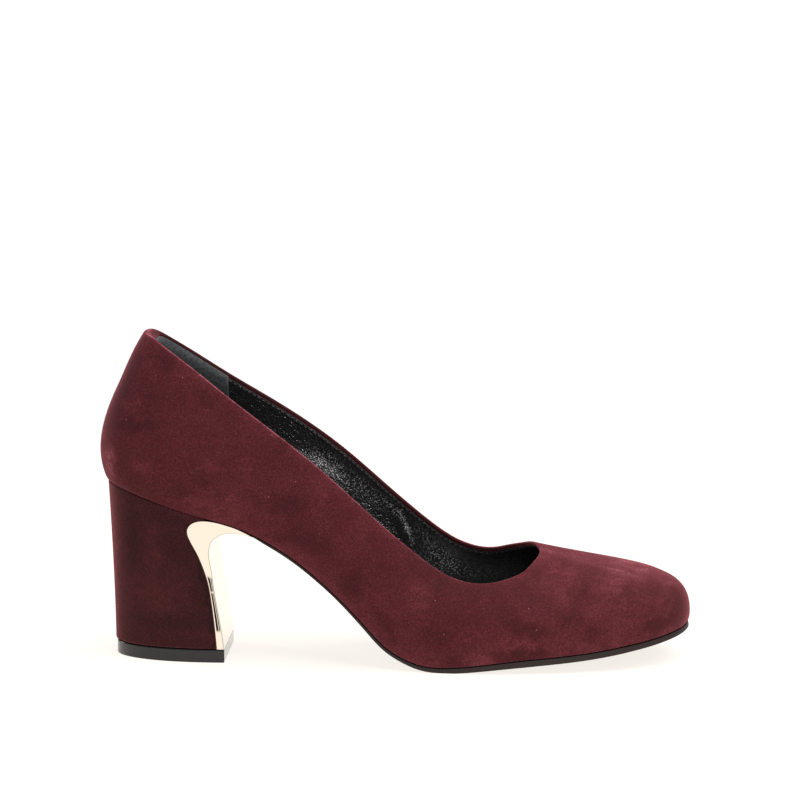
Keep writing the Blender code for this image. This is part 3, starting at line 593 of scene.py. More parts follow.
def crushed_leather(name, tone, roughness, depth):
    """Glossy crushed grain: rounded cells bent by noise, and longer soft creases, as bump.

    The tops of the cells are painted grey as glints by the piece's glint attribute, above its first level the
    hollows too; the attribute raw takes the gloss off a cut edge.
    """
    finish, tree, shader = new_finish(name)
    place = node(tree, "ShaderNodeTexCoord").outputs["Object"]
    wander = node(tree, "ShaderNodeTexNoise", {"Vector": place, "Scale": 1 / GRAIN_WANDER, "Detail": 2.0})
    bent = node(tree, "ShaderNodeVectorMath", {
        0: wander.outputs["Color"], 1: (GRAIN_BEND,) * 3, 2: place}, operation="MULTIPLY_ADD")
    cells = node(tree, "ShaderNodeTexVoronoi", {
        "Vector": bent.outputs["Vector"], "Scale": 1 / GRAIN_CELL}).outputs["Distance"]
    hollow = node(tree, "ShaderNodeMath", {0: cells, 1: cells}, operation="MULTIPLY").outputs[0]
    crease = noise(tree, GRAIN_CREASE, Detail=3.0, Distortion=1.0)
    height = node(tree, "ShaderNodeMath", {0: crease, 1: hollow}, operation="SUBTRACT").outputs[0]
    bump = relief(tree, height, 1.0, depth)
    shade = mixed(tree, crease, colour("100f10"), colour(tone))
    tops = node(tree, "ShaderNodeMapRange", {"Value": cells, "From Min": 0.42, "From Max": 0.15})
    glint_paint = painted(tree, "glint_paint")
    through = node(tree, "ShaderNodeMapRange", {
        "Value": glint_paint, "From Min": GLINT_TOPS, "From Max": GLINT_THROUGH, "To Max": 0.22})
    painted_light = multiply_add(tree, tops.outputs["Result"], glint_paint, through.outputs["Result"])
    # painted glints: grey over the black grain
    glinted_colour = mixed(tree, painted_light, shade, colour("b0acad"))
    gloss = node(tree, "ShaderNodeMath", {0: 1.0, 1: painted(tree, "raw")}, operation="SUBTRACT")
    plug(tree, shader, {
        "Base Color": glinted_colour, "Normal": bump, "Roughness": roughness, "IOR": 1.5,
        "Coat Weight": gloss.outputs[0], "Coat Roughness": 0.12, "Coat Normal": bump})
    return finish


# Rows of points round the shoe: up the back of the sheet, over its cut edge and down its face
top_v = below_fold(t, LINING_TOP)
lining_shares = np.linspace(0, 1, 64)
turned_in = feather_plan(t, LINING_TURN_IN)
back_rows = [on_bottom(*turned_in, LINING_BACK)]
back_rows += [
    inside_wall(t, LINING_FOOT + s * (top_v - LINING_FOOT), LINING_BACK) for s in lining_shares[::4]]
half_sheet = (LINING_FACE - LINING_BACK) / 2
edge_up = wall_directions(t, top_v)[1]
edge_rows = [
    inside_wall(t, top_v, LINING_BACK + half_sheet * (1 - np.cos(a))) + half_sheet * np.sin(a) * edge_up
    for a in np.linspace(0, np.pi, 7)]
face_v = top_v[:, None] + lining_shares[1:] * (LINING_FOOT - top_v)[:, None]
face_t = t[:, None] + 0 * face_v
face_on_last = last_wall(face_t, face_v)
inner_side = face_on_last[..., 1] > 0
raised = MM * soft_marks(face_on_last, LINING_FOLDS) * inner_side
face_rows = list(np.moveaxis(inside_wall(face_t, face_v, LINING_FACE + raised), 1, 0))
lining_grid = np.stack(back_rows[:-1] + edge_rows + face_rows + [on_bottom(*turned_in, LINING_FACE)], 1)
black_leather = crushed_leather("crushed_sheepskin_black", "1e1c1d", 0.30, 0.15 * MM)
lining = grid_piece("black_lining", lining_grid, True, black_leather)
# Painted glints where the lamps glint on the grain
painted_glints = np.clip(soft_marks(face_on_last, LINING_PAINTED_GLINTS, GLINT_RAGGED), 0, GLINT_THROUGH) * inner_side
glint_paint = np.zeros(lining_grid.shape[:2])
glint_paint[:, -len(face_rows) - 1:-1] = painted_glints
paint(lining, "glint_paint", glint_paint)
raw = np.ones(lining_grid.shape[:2])
raw[:, -len(face_rows) - 1:] = 0.0
paint(lining, "raw", raw)

# Heel grip
# Dark grey suede split, pasted over the lining round the back of the foot so that the heel doesn't slip.
# Its front edges are cut upright.
GRIP_FRONT = 49 * MM
GRIP_THICKNESS = 0.45 * MM
GRIP_SUNK = 0.03 * MM  # how deep its back is pressed into the lining
GRIP_EDGE = 0.6 * MM
GRIP_TOP = 0.3 * MM  # below the fold
GRIP_HEIGHTS = (0.0, 0.82, 0.91, 0.96, 1.0)  # shares of its height, and the painted light and shade there: paler along the upper edge, darker lower down
GRIP_PAINTED_LIGHT = (-0.6, -0.6, -0.35, 0.1, 0.9)
GRIP_FLUFF = 1.2 * MM
GRIP_SEARCH = 90 * MM  # how far round the wall its front edges are looked for

# Brushed suede split looks dull and fluffy; painted light makes it paler along its upper edge, painted shade
# darker lower down.
# Its fibres are finer than the fluff here, which is as coarse as it needs to be to show.
grip_split, tree, shader = new_finish("suede_split_dark_grey")
fluff = noise(tree, GRIP_FLUFF, Detail=3.0)
# painted light and shade by height
paler = multiply_add(tree, painted(tree, "painted_light"), fluff, fluff)
shade = node(tree, "ShaderNodeValToRGB", {"Fac": paler})
shade.color_ramp.elements[0].position = 0.2
shade.color_ramp.elements[0].color = colour("1a1b1d")
shade.color_ramp.elements[1].color = colour("5c5e60")
plug(tree, shader, {
    "Base Color": shade.outputs["Color"], "Normal": relief(tree, fluff, 0.3, 0.2 * MM), "Roughness": 0.75,
    "Sheen Weight": 0.2})


def quarter_round(distance, radius):
    """Share of full height at a distance from an edge that is rounded by a quarter circle."""
    return np.sqrt(1 - (1 - np.clip(distance / radius, 0, 1))**2)


# Where each front edge crosses the wall, height by height, and a grid between the two
grip_shares = np.linspace(0, 1, 40)
grip_reach = np.linspace(0, GRIP_SEARCH, 400)
grip_ends = []
for direction in (-1, 1):
    reach_t = direction * grip_reach[:, None] + 0 * grip_shares
    reach_v = LINING_FOOT + grip_shares * (below_fold(reach_t, GRIP_TOP) - LINING_FOOT)
    reach_x = last_wall(reach_t, reach_v)[..., 0]
    grip_ends.append(np.array([np.interp(GRIP_FRONT, height_x, grip_reach) for height_x in reach_x.T]))
spread = np.sin(np.linspace(-np.pi / 2, np.pi / 2, 150))[:, None]
grip_t = np.where(spread < 0, spread * grip_ends[0], spread * grip_ends[1])
grip_v = LINING_FOOT + grip_shares * (below_fold(grip_t, GRIP_TOP) - LINING_FOOT)
to_end = np.where(spread < 0, (1 + spread) * grip_ends[0], (1 - spread) * grip_ends[1])
grip_height = np.linalg.norm(np.diff(last_wall(grip_t, grip_v), axis=1), axis=-1).sum(-1, keepdims=True)
to_end = np.minimum(to_end, (1 - grip_shares) * grip_height)
grip_back = inside_wall(grip_t, grip_v, LINING_FACE - GRIP_SUNK)
grip_face = inside_wall(grip_t, grip_v, LINING_FACE + GRIP_THICKNESS * quarter_round(to_end, GRIP_EDGE))
grip_grid = np.concatenate([grip_back, grip_face[:, ::-1]], 1)
grip_painted_light = np.interp(grip_shares, GRIP_HEIGHTS, GRIP_PAINTED_LIGHT) + 0 * grip_t
grip_painted_light = np.concatenate([grip_painted_light, grip_painted_light[:, ::-1]], 1)
grip = grid_piece("grey_heel_grip", grip_grid, False, grip_split)
paint(grip, "painted_light", grip_painted_light)

# Stitches
# Black polyester thread, lockstitched through the lining's edge into the turned-in band along the topline.
# The heel grip is pasted over the seam, so the row ends at its front edges on both sides.
STITCH_PITCH = 2.2 * MM
STITCH_HALF = 0.85 * MM
THREAD_RADIUS = 0.16 * MM
STITCH_RISE = 0.10 * MM  # how proud its middle stands, and how much lower its ends sink
STITCH_SINK = 0.18 * MM
STITCH_RINGS = 7
STITCH_ROUND = 8  # points round each ring
STITCH_DROP = LINING_TOP + 0.6 * MM
THREAD_PLY = 0.4 * MM

# Twisted polyester is a near-black with a soft glint; its plies are drawn wider than they are, to show
thread, tree, shader = new_finish("polyester_thread_black")
ply = noise(tree, THREAD_PLY, Detail=1.0)
plug(tree, shader, {"Base Color": mixed(tree, ply, colour("2a2829"), colour("524e4f")), "Roughness": 0.4})

seam_t = np.linspace(0, ROUND_LENGTH, 3000)
seam_line = inside_wall(seam_t, below_fold(seam_t, STITCH_DROP), LINING_FACE)
seam_run = np.append(0, np.cumsum(np.linalg.norm(np.diff(seam_line, axis=0), axis=-1)))
stitch_count = int(seam_run[-1] / STITCH_PITCH)
stitch_t = np.interp((np.arange(stitch_count) + 0.5) * seam_run[-1] / stitch_count, seam_run, seam_t)
stitch_t = stitch_t[last_wall(stitch_t, below_fold(stitch_t, STITCH_DROP))[:, 0] > GRIP_FRONT + STITCH_HALF]
stitch_v = below_fold(stitch_t, STITCH_DROP)
stitch_middle = inside_wall(stitch_t, stitch_v, LINING_FACE)
stitch_ends = [
    inside_wall(stitch_t + step, below_fold(stitch_t + step, STITCH_DROP), LINING_FACE)
    for step in (0.1 * MM, -0.1 * MM)]
stitch_along = unit(stitch_ends[0] - stitch_ends[1])[:, None, None]
stitch_proud = -wall_directions(stitch_t, stitch_v)[0][:, None, None]
stitch_up = np.cross(stitch_proud, stitch_along)
u = np.sin(np.linspace(-np.pi / 2, np.pi / 2, STITCH_RINGS))[:, None, None]
a = np.linspace(0, 2 * np.pi, STITCH_ROUND, endpoint=False)[None, :, None]
round_end = THREAD_RADIUS * np.sqrt(np.clip(1 - u**4, 0, 1))
proud = round_end * np.cos(a) + STITCH_RISE - STITCH_SINK * u**2
stitch_points = (
    stitch_middle[:, None, None] + STITCH_HALF * u * stitch_along + proud * stitch_proud
    + round_end * np.sin(a) * stitch_up)
stitch_faces = grid_faces(STITCH_RINGS, STITCH_ROUND, False, True)
first_points = STITCH_RINGS * STITCH_ROUND * np.arange(len(stitch_t))
stitch_faces = (stitch_faces[None] + first_points[:, None, None]).reshape(-1, 4)
stitches = mesh_piece("lining_stitches", stitch_points.reshape(-1, 3), stitch_faces, thread)
weld = stitches.modifiers.new("merge", "WELD")
weld.merge_threshold = 0.001 * MM

# Sock and insole
# The board that the foot stands on, covered with the lining's leather, laid over the turned-in margin.
# Its edge is rolled over by the covering and meets the lining all round.
GAP = 0.3 * MM  # between pieces that lie on each other
INSOLE_BOARD = 2.2 * MM
INSOLE_INSET = 2.6 * MM  # from the feather edge to the board's rim
SOCK_EDGE = 2.3 * MM  # and to the middle of the rolled edge
SOCK_ROLL = 0.7 * MM
OUTLINE_SAMPLES = 2400


def feather_sides(inset):
    """The feather edge moved inwards, as x and y of the outer and of the inner side, heel to toe."""
    at = np.linspace(0, ROUND_LENGTH, OUTLINE_SAMPLES, endpoint=False)
    x, y = feather_plan(at, inset)
    heel = np.argmin(x)
    x = np.roll(x, -heel)
    y = np.roll(y, -heel)
    toe = np.argmax(x)
    outer = (x[:toe + 1], y[:toe + 1])
    inner = (np.append(x[toe:], x[0])[::-1], np.append(y[toe:], y[0])[::-1])
    return outer, inner


def sole_sides(loops, places):
    """Grids of both sides of a sole piece.

    loops: inset from the feather edge and height above the last's bottom, from the lowest up;
    places: shares of the loop's length from heel to toe.
    """
    sides = ([], [])
    for inset, height in loops:
        outline = feather_sides(inset)
        x = outline[0][0][0] + places * (outline[0][0][-1] - outline[0][0][0])
        for rows, edge in zip(sides, outline):
            rows.append(on_bottom(x, np.interp(x, *edge), height))
    return [np.stack(rows, 1) for rows in sides]


def ladder_piece(name, outer, inner, finish):
    """Closed piece between two grids of points, one on each side of the foot.

    Both run from heel to toe and from the bottom up. One ring of points, up the outer side and
    down the inner, is carried along the foot; rungs close its two ends, and points that meet are merged.
    """
    ring = np.concatenate([outer, inner[:, ::-1]], 1)
    along, across = ring.shape[:2]
    k = np.arange(across // 2 - 1)
    rungs = np.stack([k, k + 1, across - 2 - k, across - 1 - k], -1)
    faces = np.concatenate([
        grid_faces(along, across, False, True), rungs, rungs[:, ::-1] + (along - 1) * across])
    piece = mesh_piece(name, ring.reshape(-1, 3), faces, finish)
    weld = piece.modifiers.new("merge", "WELD")
    weld.merge_threshold = 0.01 * MM
    return piece


# Inset and height of the loops: up the board's edge, round the rolled edge and over the top
rim = WALL + GAP
sock_top = rim + INSOLE_BOARD
sock_loops = [(LASTING_MARGIN + GAP, 0.0), (LASTING_MARGIN + GAP, rim), (INSOLE_INSET, rim)]
sock_loops += [
    (SOCK_EDGE - SOCK_ROLL * np.sin(a), sock_top - SOCK_ROLL * (1 - np.sin(a))) for a in (-0.2, 0.3, 0.8)]
sock_loops += [(inset * MM, sock_top) for inset in (2.1, 3, 6, 10)]
even_places = (1 - np.cos(np.linspace(0, np.pi, 160))) / 2
sock = ladder_piece("sock", *sole_sides(sock_loops, even_places), black_leather)
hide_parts("insole")

# Outsole
# Thin black-edged leather, cut to the feather edge and cemented on; the edge is trimmed, inked and
# waxed, its lower corner rounded by the trimming wheel.
OUTSOLE_INSET = 0.6 * MM
EDGE_ROUNDING = 0.5 * MM  # of its lower corner, across the edge and as a share of the thickness
EDGE_ROUNDING_UP = 0.2
SOLE_START = 0.266 * LENGTH + GAP
SOLE_FIBRE = 0.8 * MM

# Thickness in mm at places in percent of LENGTH
SoleThickness = namedtuple("SoleThickness", "along thickness")
SOLE_THICKNESS = [SoleThickness(*row) for row in (
    (26.7, 0.35), (28.6, 0.80), (34.0, 0.85), (40.0, 0.70), (45.0, 0.95), (50.0, 1.20), (55.5, 1.70),
    (58.0, 1.95), (61.0, 2.10), (66.0, 2.30), (72.0, 2.60), (88.0, 2.50), (95.0, 2.20), (100.0, 2.00),
)]

# Inked and waxed leather is a dull brown-black in which the cut fibres show as faint long streaks
edge_leather, tree, shader = new_finish("sole_leather_inked_edge")
fibre = noise(tree, SOLE_FIBRE, (0.3, 0.3, 1.0), Detail=3.0)
plug(tree, shader, {
    "Base Color": mixed(tree, fibre, colour("190f0d"), colour("2b1c19")),
    "Normal": relief(tree, fibre, 0.3, 0.1 * MM), "Roughness": 0.6, "Specular IOR Level": 0.35})

outline_x = feather_sides(OUTSOLE_INSET)[0][0]
start_share = (SOLE_START - outline_x[0]) / (outline_x[-1] - outline_x[0])
sole_places = start_share + (1 - start_share) * np.sin(np.linspace(0, np.pi / 2, 200))
thickness = np.interp(
    outline_x[0] + sole_places * (outline_x[-1] - outline_x[0]),
    column(SOLE_THICKNESS, "along") * PERCENT * LENGTH, column(SOLE_THICKNESS, "thickness") * MM)
# Inset of the loops and their depth as a share of the thickness, from the underside round the edge to the top
sole_loops = [(12 * MM, 1.0), (5 * MM, 1.0), (OUTSOLE_INSET + 0.9 * MM, 1.0)]
sole_loops += [
    (OUTSOLE_INSET + EDGE_ROUNDING * (1 - np.sin(a)), 1 - EDGE_ROUNDING_UP * (1 - np.cos(a)))
    for a in (0.1, 0.5, 1.0, 1.5)]
sole_loops += [(OUTSOLE_INSET, 0.4), (OUTSOLE_INSET, 0.05), (OUTSOLE_INSET + 0.25 * MM, 0.0), (4 * MM, 0.0)]
sides = sole_sides([(inset, 0.0) for inset, _ in sole_loops], sole_places)
sole_depth = GAP + thickness[:, None] * np.array([depth for _, depth in sole_loops])
for side in sides:
    slope = bottom_slope(side[..., 0])
    size = np.sqrt(1 + slope**2)
    side[..., 0] += sole_depth * slope / size
    side[..., 2] = np.maximum(side[..., 2] - sole_depth / size, 0.0)
outsole = ladder_piece("leather_outsole", *sides, edge_leather)
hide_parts("outsole")

# Heel block
# Moulded block covered with the same suede, drawn tight round the back and tucked in under the seat.
# Its tones are a darker copy of the upper's suede: painted shade for the nap that runs downwards here, away
# from the light.
LIFT_HEIGHT = 5.2 * MM  # the top piece under the heel
HEEL_BOTTOM = LIFT_HEIGHT + GAP
HEEL_INSET = 0.3 * MM  # from the feather edge to the heel's top
HEEL_BACK_LOW = 5.4 * MM  # where the back of its foot lies
HEEL_BACK_CURVE = 1.5  # powers by which back and sides sweep out to the seat
HEEL_SIDE_CURVE = 1.5
HEEL_FOOT_LENGTH = 45 * MM
HEEL_FOOT_HALF = 21 * MM
HEEL_FOOT_POWERS = (2.4, 0.56)  # how full the D of the foot is, along and across
HEEL_CROWDING = 1.8  # power by which points crowd towards the round back
COVER_ROUNDING = 1.2 * MM  # at the foot
TUCK_ROUNDING = 0.3 * MM  # under the seat
COVER_RAGGED = 0.7  # mm

# Edges of the heel plate from its tongue's tip to the foot: outer against the block, inner along the arch,
# in percent of LENGTH and of the heel's height
PlateRow = namedtuple("PlateRow", "outer_along outer_share inner_along inner_share")
PLATE_ROWS = [PlateRow(*row) for row in (
    (26.6, 99.0, 26.5, 98.2), (23.7, 100.0, 24.5, 96.9), (20.9, 100.0, 22.2, 93.4), (18.4, 98.6, 20.7, 89.2),
    (16.5, 94.5, 19.8, 84.8), (15.6, 87.5, 19.4, 80.3), (16.1, 80.8, 19.2, 75.1), (17.1, 73.5, 19.3, 69.2),
    (18.1, 64.0, 19.6, 61.6), (19.0, 51.8, 19.9, 51.0), (19.5, 39.1, 20.3, 39.0), (20.0, 20.4, 21.0, 20.3),
    (20.4, 0.0, 21.6, 0.0))]
PLATE_HEAD_ROW = 3  # where the tongue ends and the block's front begins
DOWN_THE_PLATE = 140
TONGUE_ROWS = 36

# The cover's tone: a painted highlight down the rounded back, paler patches on the side, and darker along the
# foot, under the seat and beside the plate
COVER_MARKS = [Mark(*row) for row in (
    # the first mark paints the highlight down the rounded back
    (5, 38, 3, 40, 0, 0.24), (35, 7.5, 14, 2.6, 0, -0.1), (33, 16, 16, 3.2, 0, -0.14),
    (13.8, 50, 3, 14, 0, -0.14), (22.5, 26.5, 10, 8, 0, 0.16), (22.6, 45, 3.6, 9, 0, 0.13),
    (33.7, 46, 8, 8, 0, -0.13), (28, 58, 8, 3, -15, -0.12), (40, 30, 3, 12, 10, -0.12),
    (42.2, 36, 16, 1.2, -78, -0.4), (46.4, 14, 10, 1.2, -84, -0.4), (38, 52, 6, 1.2, -60, -0.35),
)]


def seat_under(x):
    """Height of the heel's top: a gap, measured square to it, below the last's bottom."""
    return bottom_z(x) - GAP * np.sqrt(1 + bottom_slope(x)**2)


def heel_z(x, share):
    """Height of a place on the heel, in proportion between its foot (share 0) and the seat (share 1)."""
    return HEEL_BOTTOM + share * (seat_under(x) - HEEL_BOTTOM)


def heel_back(share):
    """The heel's back line: it sweeps back from the foot up to the seat by a power of the share."""
    top = feather_sides(HEEL_INSET)[0][0][0]
    return HEEL_BACK_LOW + (top - HEEL_BACK_LOW) * share**HEEL_BACK_CURVE


def foot_half(depth):
    """Half width of the heel's D-shaped foot, this deep in front of its back: a superellipse."""
    along, across = HEEL_FOOT_POWERS
    left = 1 - np.clip(depth / HEEL_FOOT_LENGTH, 0, 1)
    return HEEL_FOOT_HALF * (1 - left**along)**across


def heel_sides(x, share):
    """Points on both sides of the heel: the D of its foot blends into the seat's outline."""
    depth = np.maximum(x - heel_back(share), 0)
    blend = share**HEEL_SIDE_CURVE
    points = []
    for side, (seat_x, seat_y) in zip((-1, 1), feather_sides(HEEL_INSET)):
        seat = np.interp(seat_x[0] + depth, seat_x, seat_y)
        y = (1 - blend) * side * foot_half(depth) + blend * seat
        points.append(np.stack([x, y, heel_z(x, share)], -1))
    return points


def plate_edges():
    """Both edges of the plate from the tongue's tip: cubic curves through PLATE_ROWS by the distance run."""
    columns = [column(PLATE_ROWS, name) * PERCENT for name in PlateRow._fields]
    step = np.hypot(np.diff(columns[0]) * LENGTH, np.diff(columns[1]) * SEAT_HEIGHT)
    knots = np.append(0, np.cumsum(step))
    head = knots[PLATE_HEAD_ROW]
    tongue = np.linspace(0, head, TONGUE_ROWS, endpoint=False)
    at = np.append(tongue, np.linspace(head, knots[-1], DOWN_THE_PLATE))
    outer_x, outer_share, inner_x, inner_share = [spline(knots, values, at) for values in columns]
    return outer_x * LENGTH, np.clip(outer_share, 0, 1), inner_x * LENGTH, np.clip(inner_share, 0, 1)


# The cover reaches to a gap behind the plate; its rims at foot and seat are rounded by an inset
edge_x, edge_share, arch_x, arch_share = plate_edges()
block_x = edge_x[TONGUE_ROWS:][::-1]
block_z = heel_z(block_x, edge_share[TONGUE_ROWS:][::-1])
run = np.gradient(block_x)
climb = np.gradient(block_z)
size = np.hypot(run, climb)
front_x = block_x - GAP * climb / size
front_z = block_z + GAP * run / size
cover_share = (front_z - HEEL_BOTTOM) / (seat_under(front_x) - HEEL_BOTTOM)
cover_share[0] = 0.0
head_shares = cover_share[-1] + (1 - cover_share[-1]) * np.sin(np.linspace(0, np.pi / 2, 8)[1:])
cover_share = np.append(cover_share, head_shares)
front_x = np.append(front_x, np.full_like(head_shares, front_x[-1]))
to_rim = np.minimum(cover_share, 1 - cover_share) * (SEAT_HEIGHT - HEEL_BOTTOM)
rim_rounding = np.where(cover_share < 0.5, COVER_ROUNDING, TUCK_ROUNDING)
rim_inset = rim_rounding * (1 - quarter_round(to_rim, rim_rounding))
cover_places = np.linspace(0, 1, 90)[:, None]**HEEL_CROWDING
cover_back = heel_back(cover_share)
cover_x = cover_back + rim_inset + cover_places * (front_x - cover_back - rim_inset)
block_sides = heel_sides(cover_x - rim_inset * (1 - cover_places), cover_share + 0 * cover_x)
for side in block_sides:
    side[..., 0] = cover_x
    side[..., 1] *= 1 - rim_inset / HEEL_FOOT_HALF
heel_suede_painted_shade = suede_finish("goat_suede_heel_cover", ("221010", "391718", "532427", "74373b"), 0.60)
heel = ladder_piece("suede_heel", *block_sides, heel_suede_painted_shade)
cover_points = np.concatenate([block_sides[0], block_sides[1][:, ::-1]], 1)
paint(heel, "nap_and_painted_light", soft_marks(cover_points, COVER_MARKS, COVER_RAGGED))
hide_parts("heel_block")

# Heel plate
# Die-cast zinc, polished and plated pale gold, pinned to the block's front; its tongue runs under the
# waist. The plating mirrors the room, and its polished edges are slightly rounded.
PLATE_ROUNDING = 0.35 * MM
PLATE_HAZE = 4 * MM  # size of the faint clouds that handling leaves on the polish
LINE_FOOT = 12.2 * MM  # painted reflections: dark lines run along the narrow side between these heights
LINE_HEAD = 34.5 * MM
LINE_BREAK = 28.3 * MM  # and a short bare stretch parts them
EDGE_PAINTED_REFLECTION = 0.5  # how dark the painted reflection along the polished edge is

# Across the side, from the arch's edge to the block: share of the width, and how dark the painted reflection
# there is
SideRow = namedtuple("SideRow", "share line")
SIDE_ROWS = [SideRow(*row) for row in (
    (0.03, 0.0), (0.05, 1.0), (0.23, 1.0), (0.25, 0.0), (0.34, 0.0), (0.36, 1.0), (0.77, 1.0), (0.79, 0.0),
    (0.96, 0.0), (1.0, 0.0))]

# The dark brown mixed into the plating's colour paints reflections of dark things in the polish
polished_gold, tree, shader = new_finish("pale_gold_plating")
haze = noise(tree, PLATE_HAZE, Detail=3.0)
gloss = node(tree, "ShaderNodeMapRange", {"Value": haze, "To Min": 0.05, "To Max": 0.11})
plug(tree, shader, {
    "Base Color": mixed(tree, painted(tree, "line"), colour("ebe2d3"), colour("2e2321")), "Metallic": 1.0,
    "Roughness": gloss.outputs["Result"], "Normal": relief(tree, haze, 0.1, 0.05 * MM)})

# Each side runs from the plate's front round the polished edge and over the narrow side to the block
outer_edges = heel_sides(edge_x, edge_share)
arch_edges = heel_sides(arch_x, arch_share)
corner_shares = np.linspace(0, 1, 7)
plate_sides = []
for edge, arch, other in zip(outer_edges, arch_edges, arch_edges[::-1]):
    width = np.linalg.norm(arch - edge, axis=-1, keepdims=True)
    radius = np.minimum(PLATE_ROUNDING, 0.4 * width)
    before = arch + radius * unit(edge - arch)
    after = arch + radius * unit(other - arch)
    polished_edge = [round_corner(after, arch, before, s) for s in corner_shares]
    across = [after + 2 * radius * unit(other - arch)] + polished_edge
    plate_sides.append(np.stack(across + [before + row.share * (edge - before) for row in SIDE_ROWS], 1))
line_z = arch_edges[0][:, 2:]
in_line = np.clip((line_z - LINE_FOOT) / MM, 0, 1) * np.clip((LINE_HEAD - line_z) / MM, 0, 1)
in_line = in_line * np.clip(2 * abs(line_z - LINE_BREAK) / MM, 0, 1)
corner_line = EDGE_PAINTED_REFLECTION * np.sin(np.pi * np.append(0, corner_shares)) + 0 * in_line
side_line = np.concatenate([corner_line, column(SIDE_ROWS, "line") * in_line], 1)
plate_painted_reflection = np.concatenate([side_line, side_line[:, ::-1]], 1)
plate = ladder_piece("gold_heel_plate", *plate_sides, polished_gold)
paint(plate, "line", plate_painted_reflection)
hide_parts("heel_plate")

# Top piece
# Hard black rubber lift, cut to the heel's foot and nailed on; its edge is trimmed and buffed on a wheel,
# which leaves fine upright marks.
LIFT_INSET = 0.5 * MM
LIFT_ROUNDING = 0.4 * MM
BUFF_MARK = 0.7 * MM
WAX_IOR = 1.43

# Buffed rubber under wax is a deep black with a clear, weak mirror; the marks are drawn coarse enough to show
lift_rubber, tree, shader = new_finish("lift_rubber_buffed")
marks = noise(tree, BUFF_MARK, (1.0, 1.0, 0.12), Detail=3.0)
plug(tree, shader, {
    "Base Color": mixed(tree, marks, colour("0c0b0b"), colour("191616")),
    "Normal": relief(tree, marks, 0.04, 0.05 * MM), "Roughness": 0.30, "Specular IOR Level": 0.1,
    "Coat Weight": 1.0, "Coat IOR": WAX_IOR, "Coat Roughness": 0.03})

# Inset and height of the rows: over the underside, round the lower edge, up the side and over the top
lift_rows = [(6 * MM, 0.0), (2 * MM, 0.0)]
lift_rows += [
    (LIFT_ROUNDING * (1 - np.sin(a)), LIFT_ROUNDING * (1 - np.cos(a))) for a in (0.0, 0.5, 1.0, 1.5)]
lift_rows += [
    (0.0, LIFT_ROUNDING + 0.1 * MM), (0.0, LIFT_HEIGHT - 0.4 * MM), (0.0, LIFT_HEIGHT - 0.3 * MM),
    (0.15 * MM, LIFT_HEIGHT - 0.05 * MM), (0.5 * MM, LIFT_HEIGHT), (3 * MM, LIFT_HEIGHT)]
lift_places = np.linspace(0, 1, 80)**HEEL_CROWDING
lift_half = foot_half(lift_places * HEEL_FOOT_LENGTH)
lift_front = PLATE_ROWS[-1].inner_along * PERCENT * LENGTH
lift_sides = [[], []]
for inset, height in lift_rows:
    lift_back = HEEL_BACK_LOW + LIFT_INSET + inset
    lift_x = lift_back + lift_places * (lift_front - min(inset, LIFT_ROUNDING) - lift_back)
    narrowed = lift_half * (1 - (LIFT_INSET + inset) / HEEL_FOOT_HALF)
    for rows, side in zip(lift_sides, (-1, 1)):
        rows.append(np.stack([lift_x, side * narrowed, 0 * lift_x + height], -1))
lift = ladder_piece("heel_lift", *[np.stack(rows, 1) for rows in lift_sides], lift_rubber)
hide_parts("top_piece")

# Studio
# A pale floor under wide soft lights, bright enough to blend into the white room behind it.
FLOOR_RADIUS = 0.62
FLOOR_POINTS = 96
floor_paint, tree, shader = new_finish("matt_white_floor")
plug(tree, shader, {
    "Base Color": colour("8c8a88"), "Roughness": 0.9, "Specular IOR Level": 0.1,
    "Emission Color": colour("fffaf3"), "Emission Strength": 0.86})
floor_mesh = bpy.data.meshes.new("floor")
turn = np.linspace(0, 2 * np.pi, FLOOR_POINTS, endpoint=False)
floor_rim = FLOOR_RADIUS * np.stack([np.cos(turn), np.sin(turn), 0 * turn], -1)
floor_mesh.from_pydata(floor_rim.tolist(), [], [list(range(FLOOR_POINTS))])
floor_mesh.materials.append(floor_paint)
floor = bpy.data.objects.new("floor", floor_mesh)
bpy.context.scene.collection.objects.link(floor)

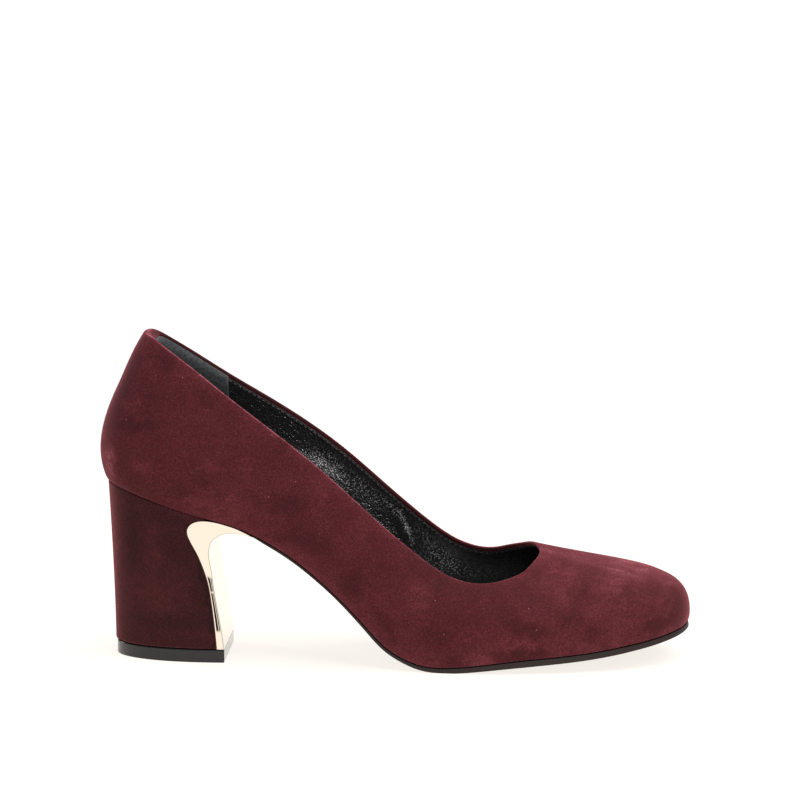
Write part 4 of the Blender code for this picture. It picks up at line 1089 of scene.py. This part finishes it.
room = bpy.data.worlds.new("white_room")
room.use_nodes = True
tree = room.node_tree
seen = node(tree, "ShaderNodeLightPath").outputs["Is Camera Ray"]
strength = node(tree, "ShaderNodeMapRange", {"Value": seen, "To Min": 0.25, "To Max": 1.05})
plug(tree, tree.nodes["Background"], {
    "Color": (1.0, 1.0, 1.0, 1.0), "Strength": strength.outputs["Result"]})
bpy.context.scene.world = room

SoftLight = namedtuple("SoftLight", "name place aim size power")
SOFT_LIGHTS = [
    SoftLight("overhead_softbox", (0.50, -0.22, 1.25), (0.0, 0.0, 0.05), 1.6, 27.5),
    SoftLight("front_softbox", (0.12, -1.30, 0.42), (0.0, 0.0, 0.05), 0.36, 4.4),
    SoftLight("back_softbox", (-1.00, 0.55, 0.45), (-0.1, 0.0, 0.08), 0.5, 4.0),
]
for row in SOFT_LIGHTS:
    lamp = bpy.data.lights.new(row.name, "AREA")
    lamp.size = row.size
    lamp.energy = row.power
    holder = bpy.data.objects.new(row.name, lamp)
    holder.location = row.place
    aim = Vector(row.aim) - Vector(row.place)
    holder.rotation_euler = aim.to_track_quat("-Z", "Y").to_euler()
    bpy.context.scene.collection.objects.link(holder)

CAMERA_AZIMUTH = np.radians(2.7)
CAMERA_ELEVATION = np.radians(8.2)
CAMERA_DISTANCE = 1.5
CAMERA_LENS = 171.4  # mm, as is the sensor's width
CAMERA_SENSOR = 36.0
CAMERA_TARGET = np.array([0.00188, 0.00055, 0.1020])
towards_camera = np.array([
    np.sin(CAMERA_AZIMUTH) * np.cos(CAMERA_ELEVATION),
    -np.cos(CAMERA_AZIMUTH) * np.cos(CAMERA_ELEVATION),
    np.sin(CAMERA_ELEVATION)])
camera = bpy.data.objects.new("camera", bpy.data.cameras.new("camera"))
camera.data.lens = CAMERA_LENS
camera.data.sensor_width = CAMERA_SENSOR
camera.location = CAMERA_TARGET + CAMERA_DISTANCE * towards_camera
camera.rotation_euler = Vector(-towards_camera).to_track_quat("-Z", "Y").to_euler()
bpy.context.scene.collection.objects.link(camera)
bpy.context.scene.camera = camera
bpy.context.scene.view_settings.view_transform = "Standard"
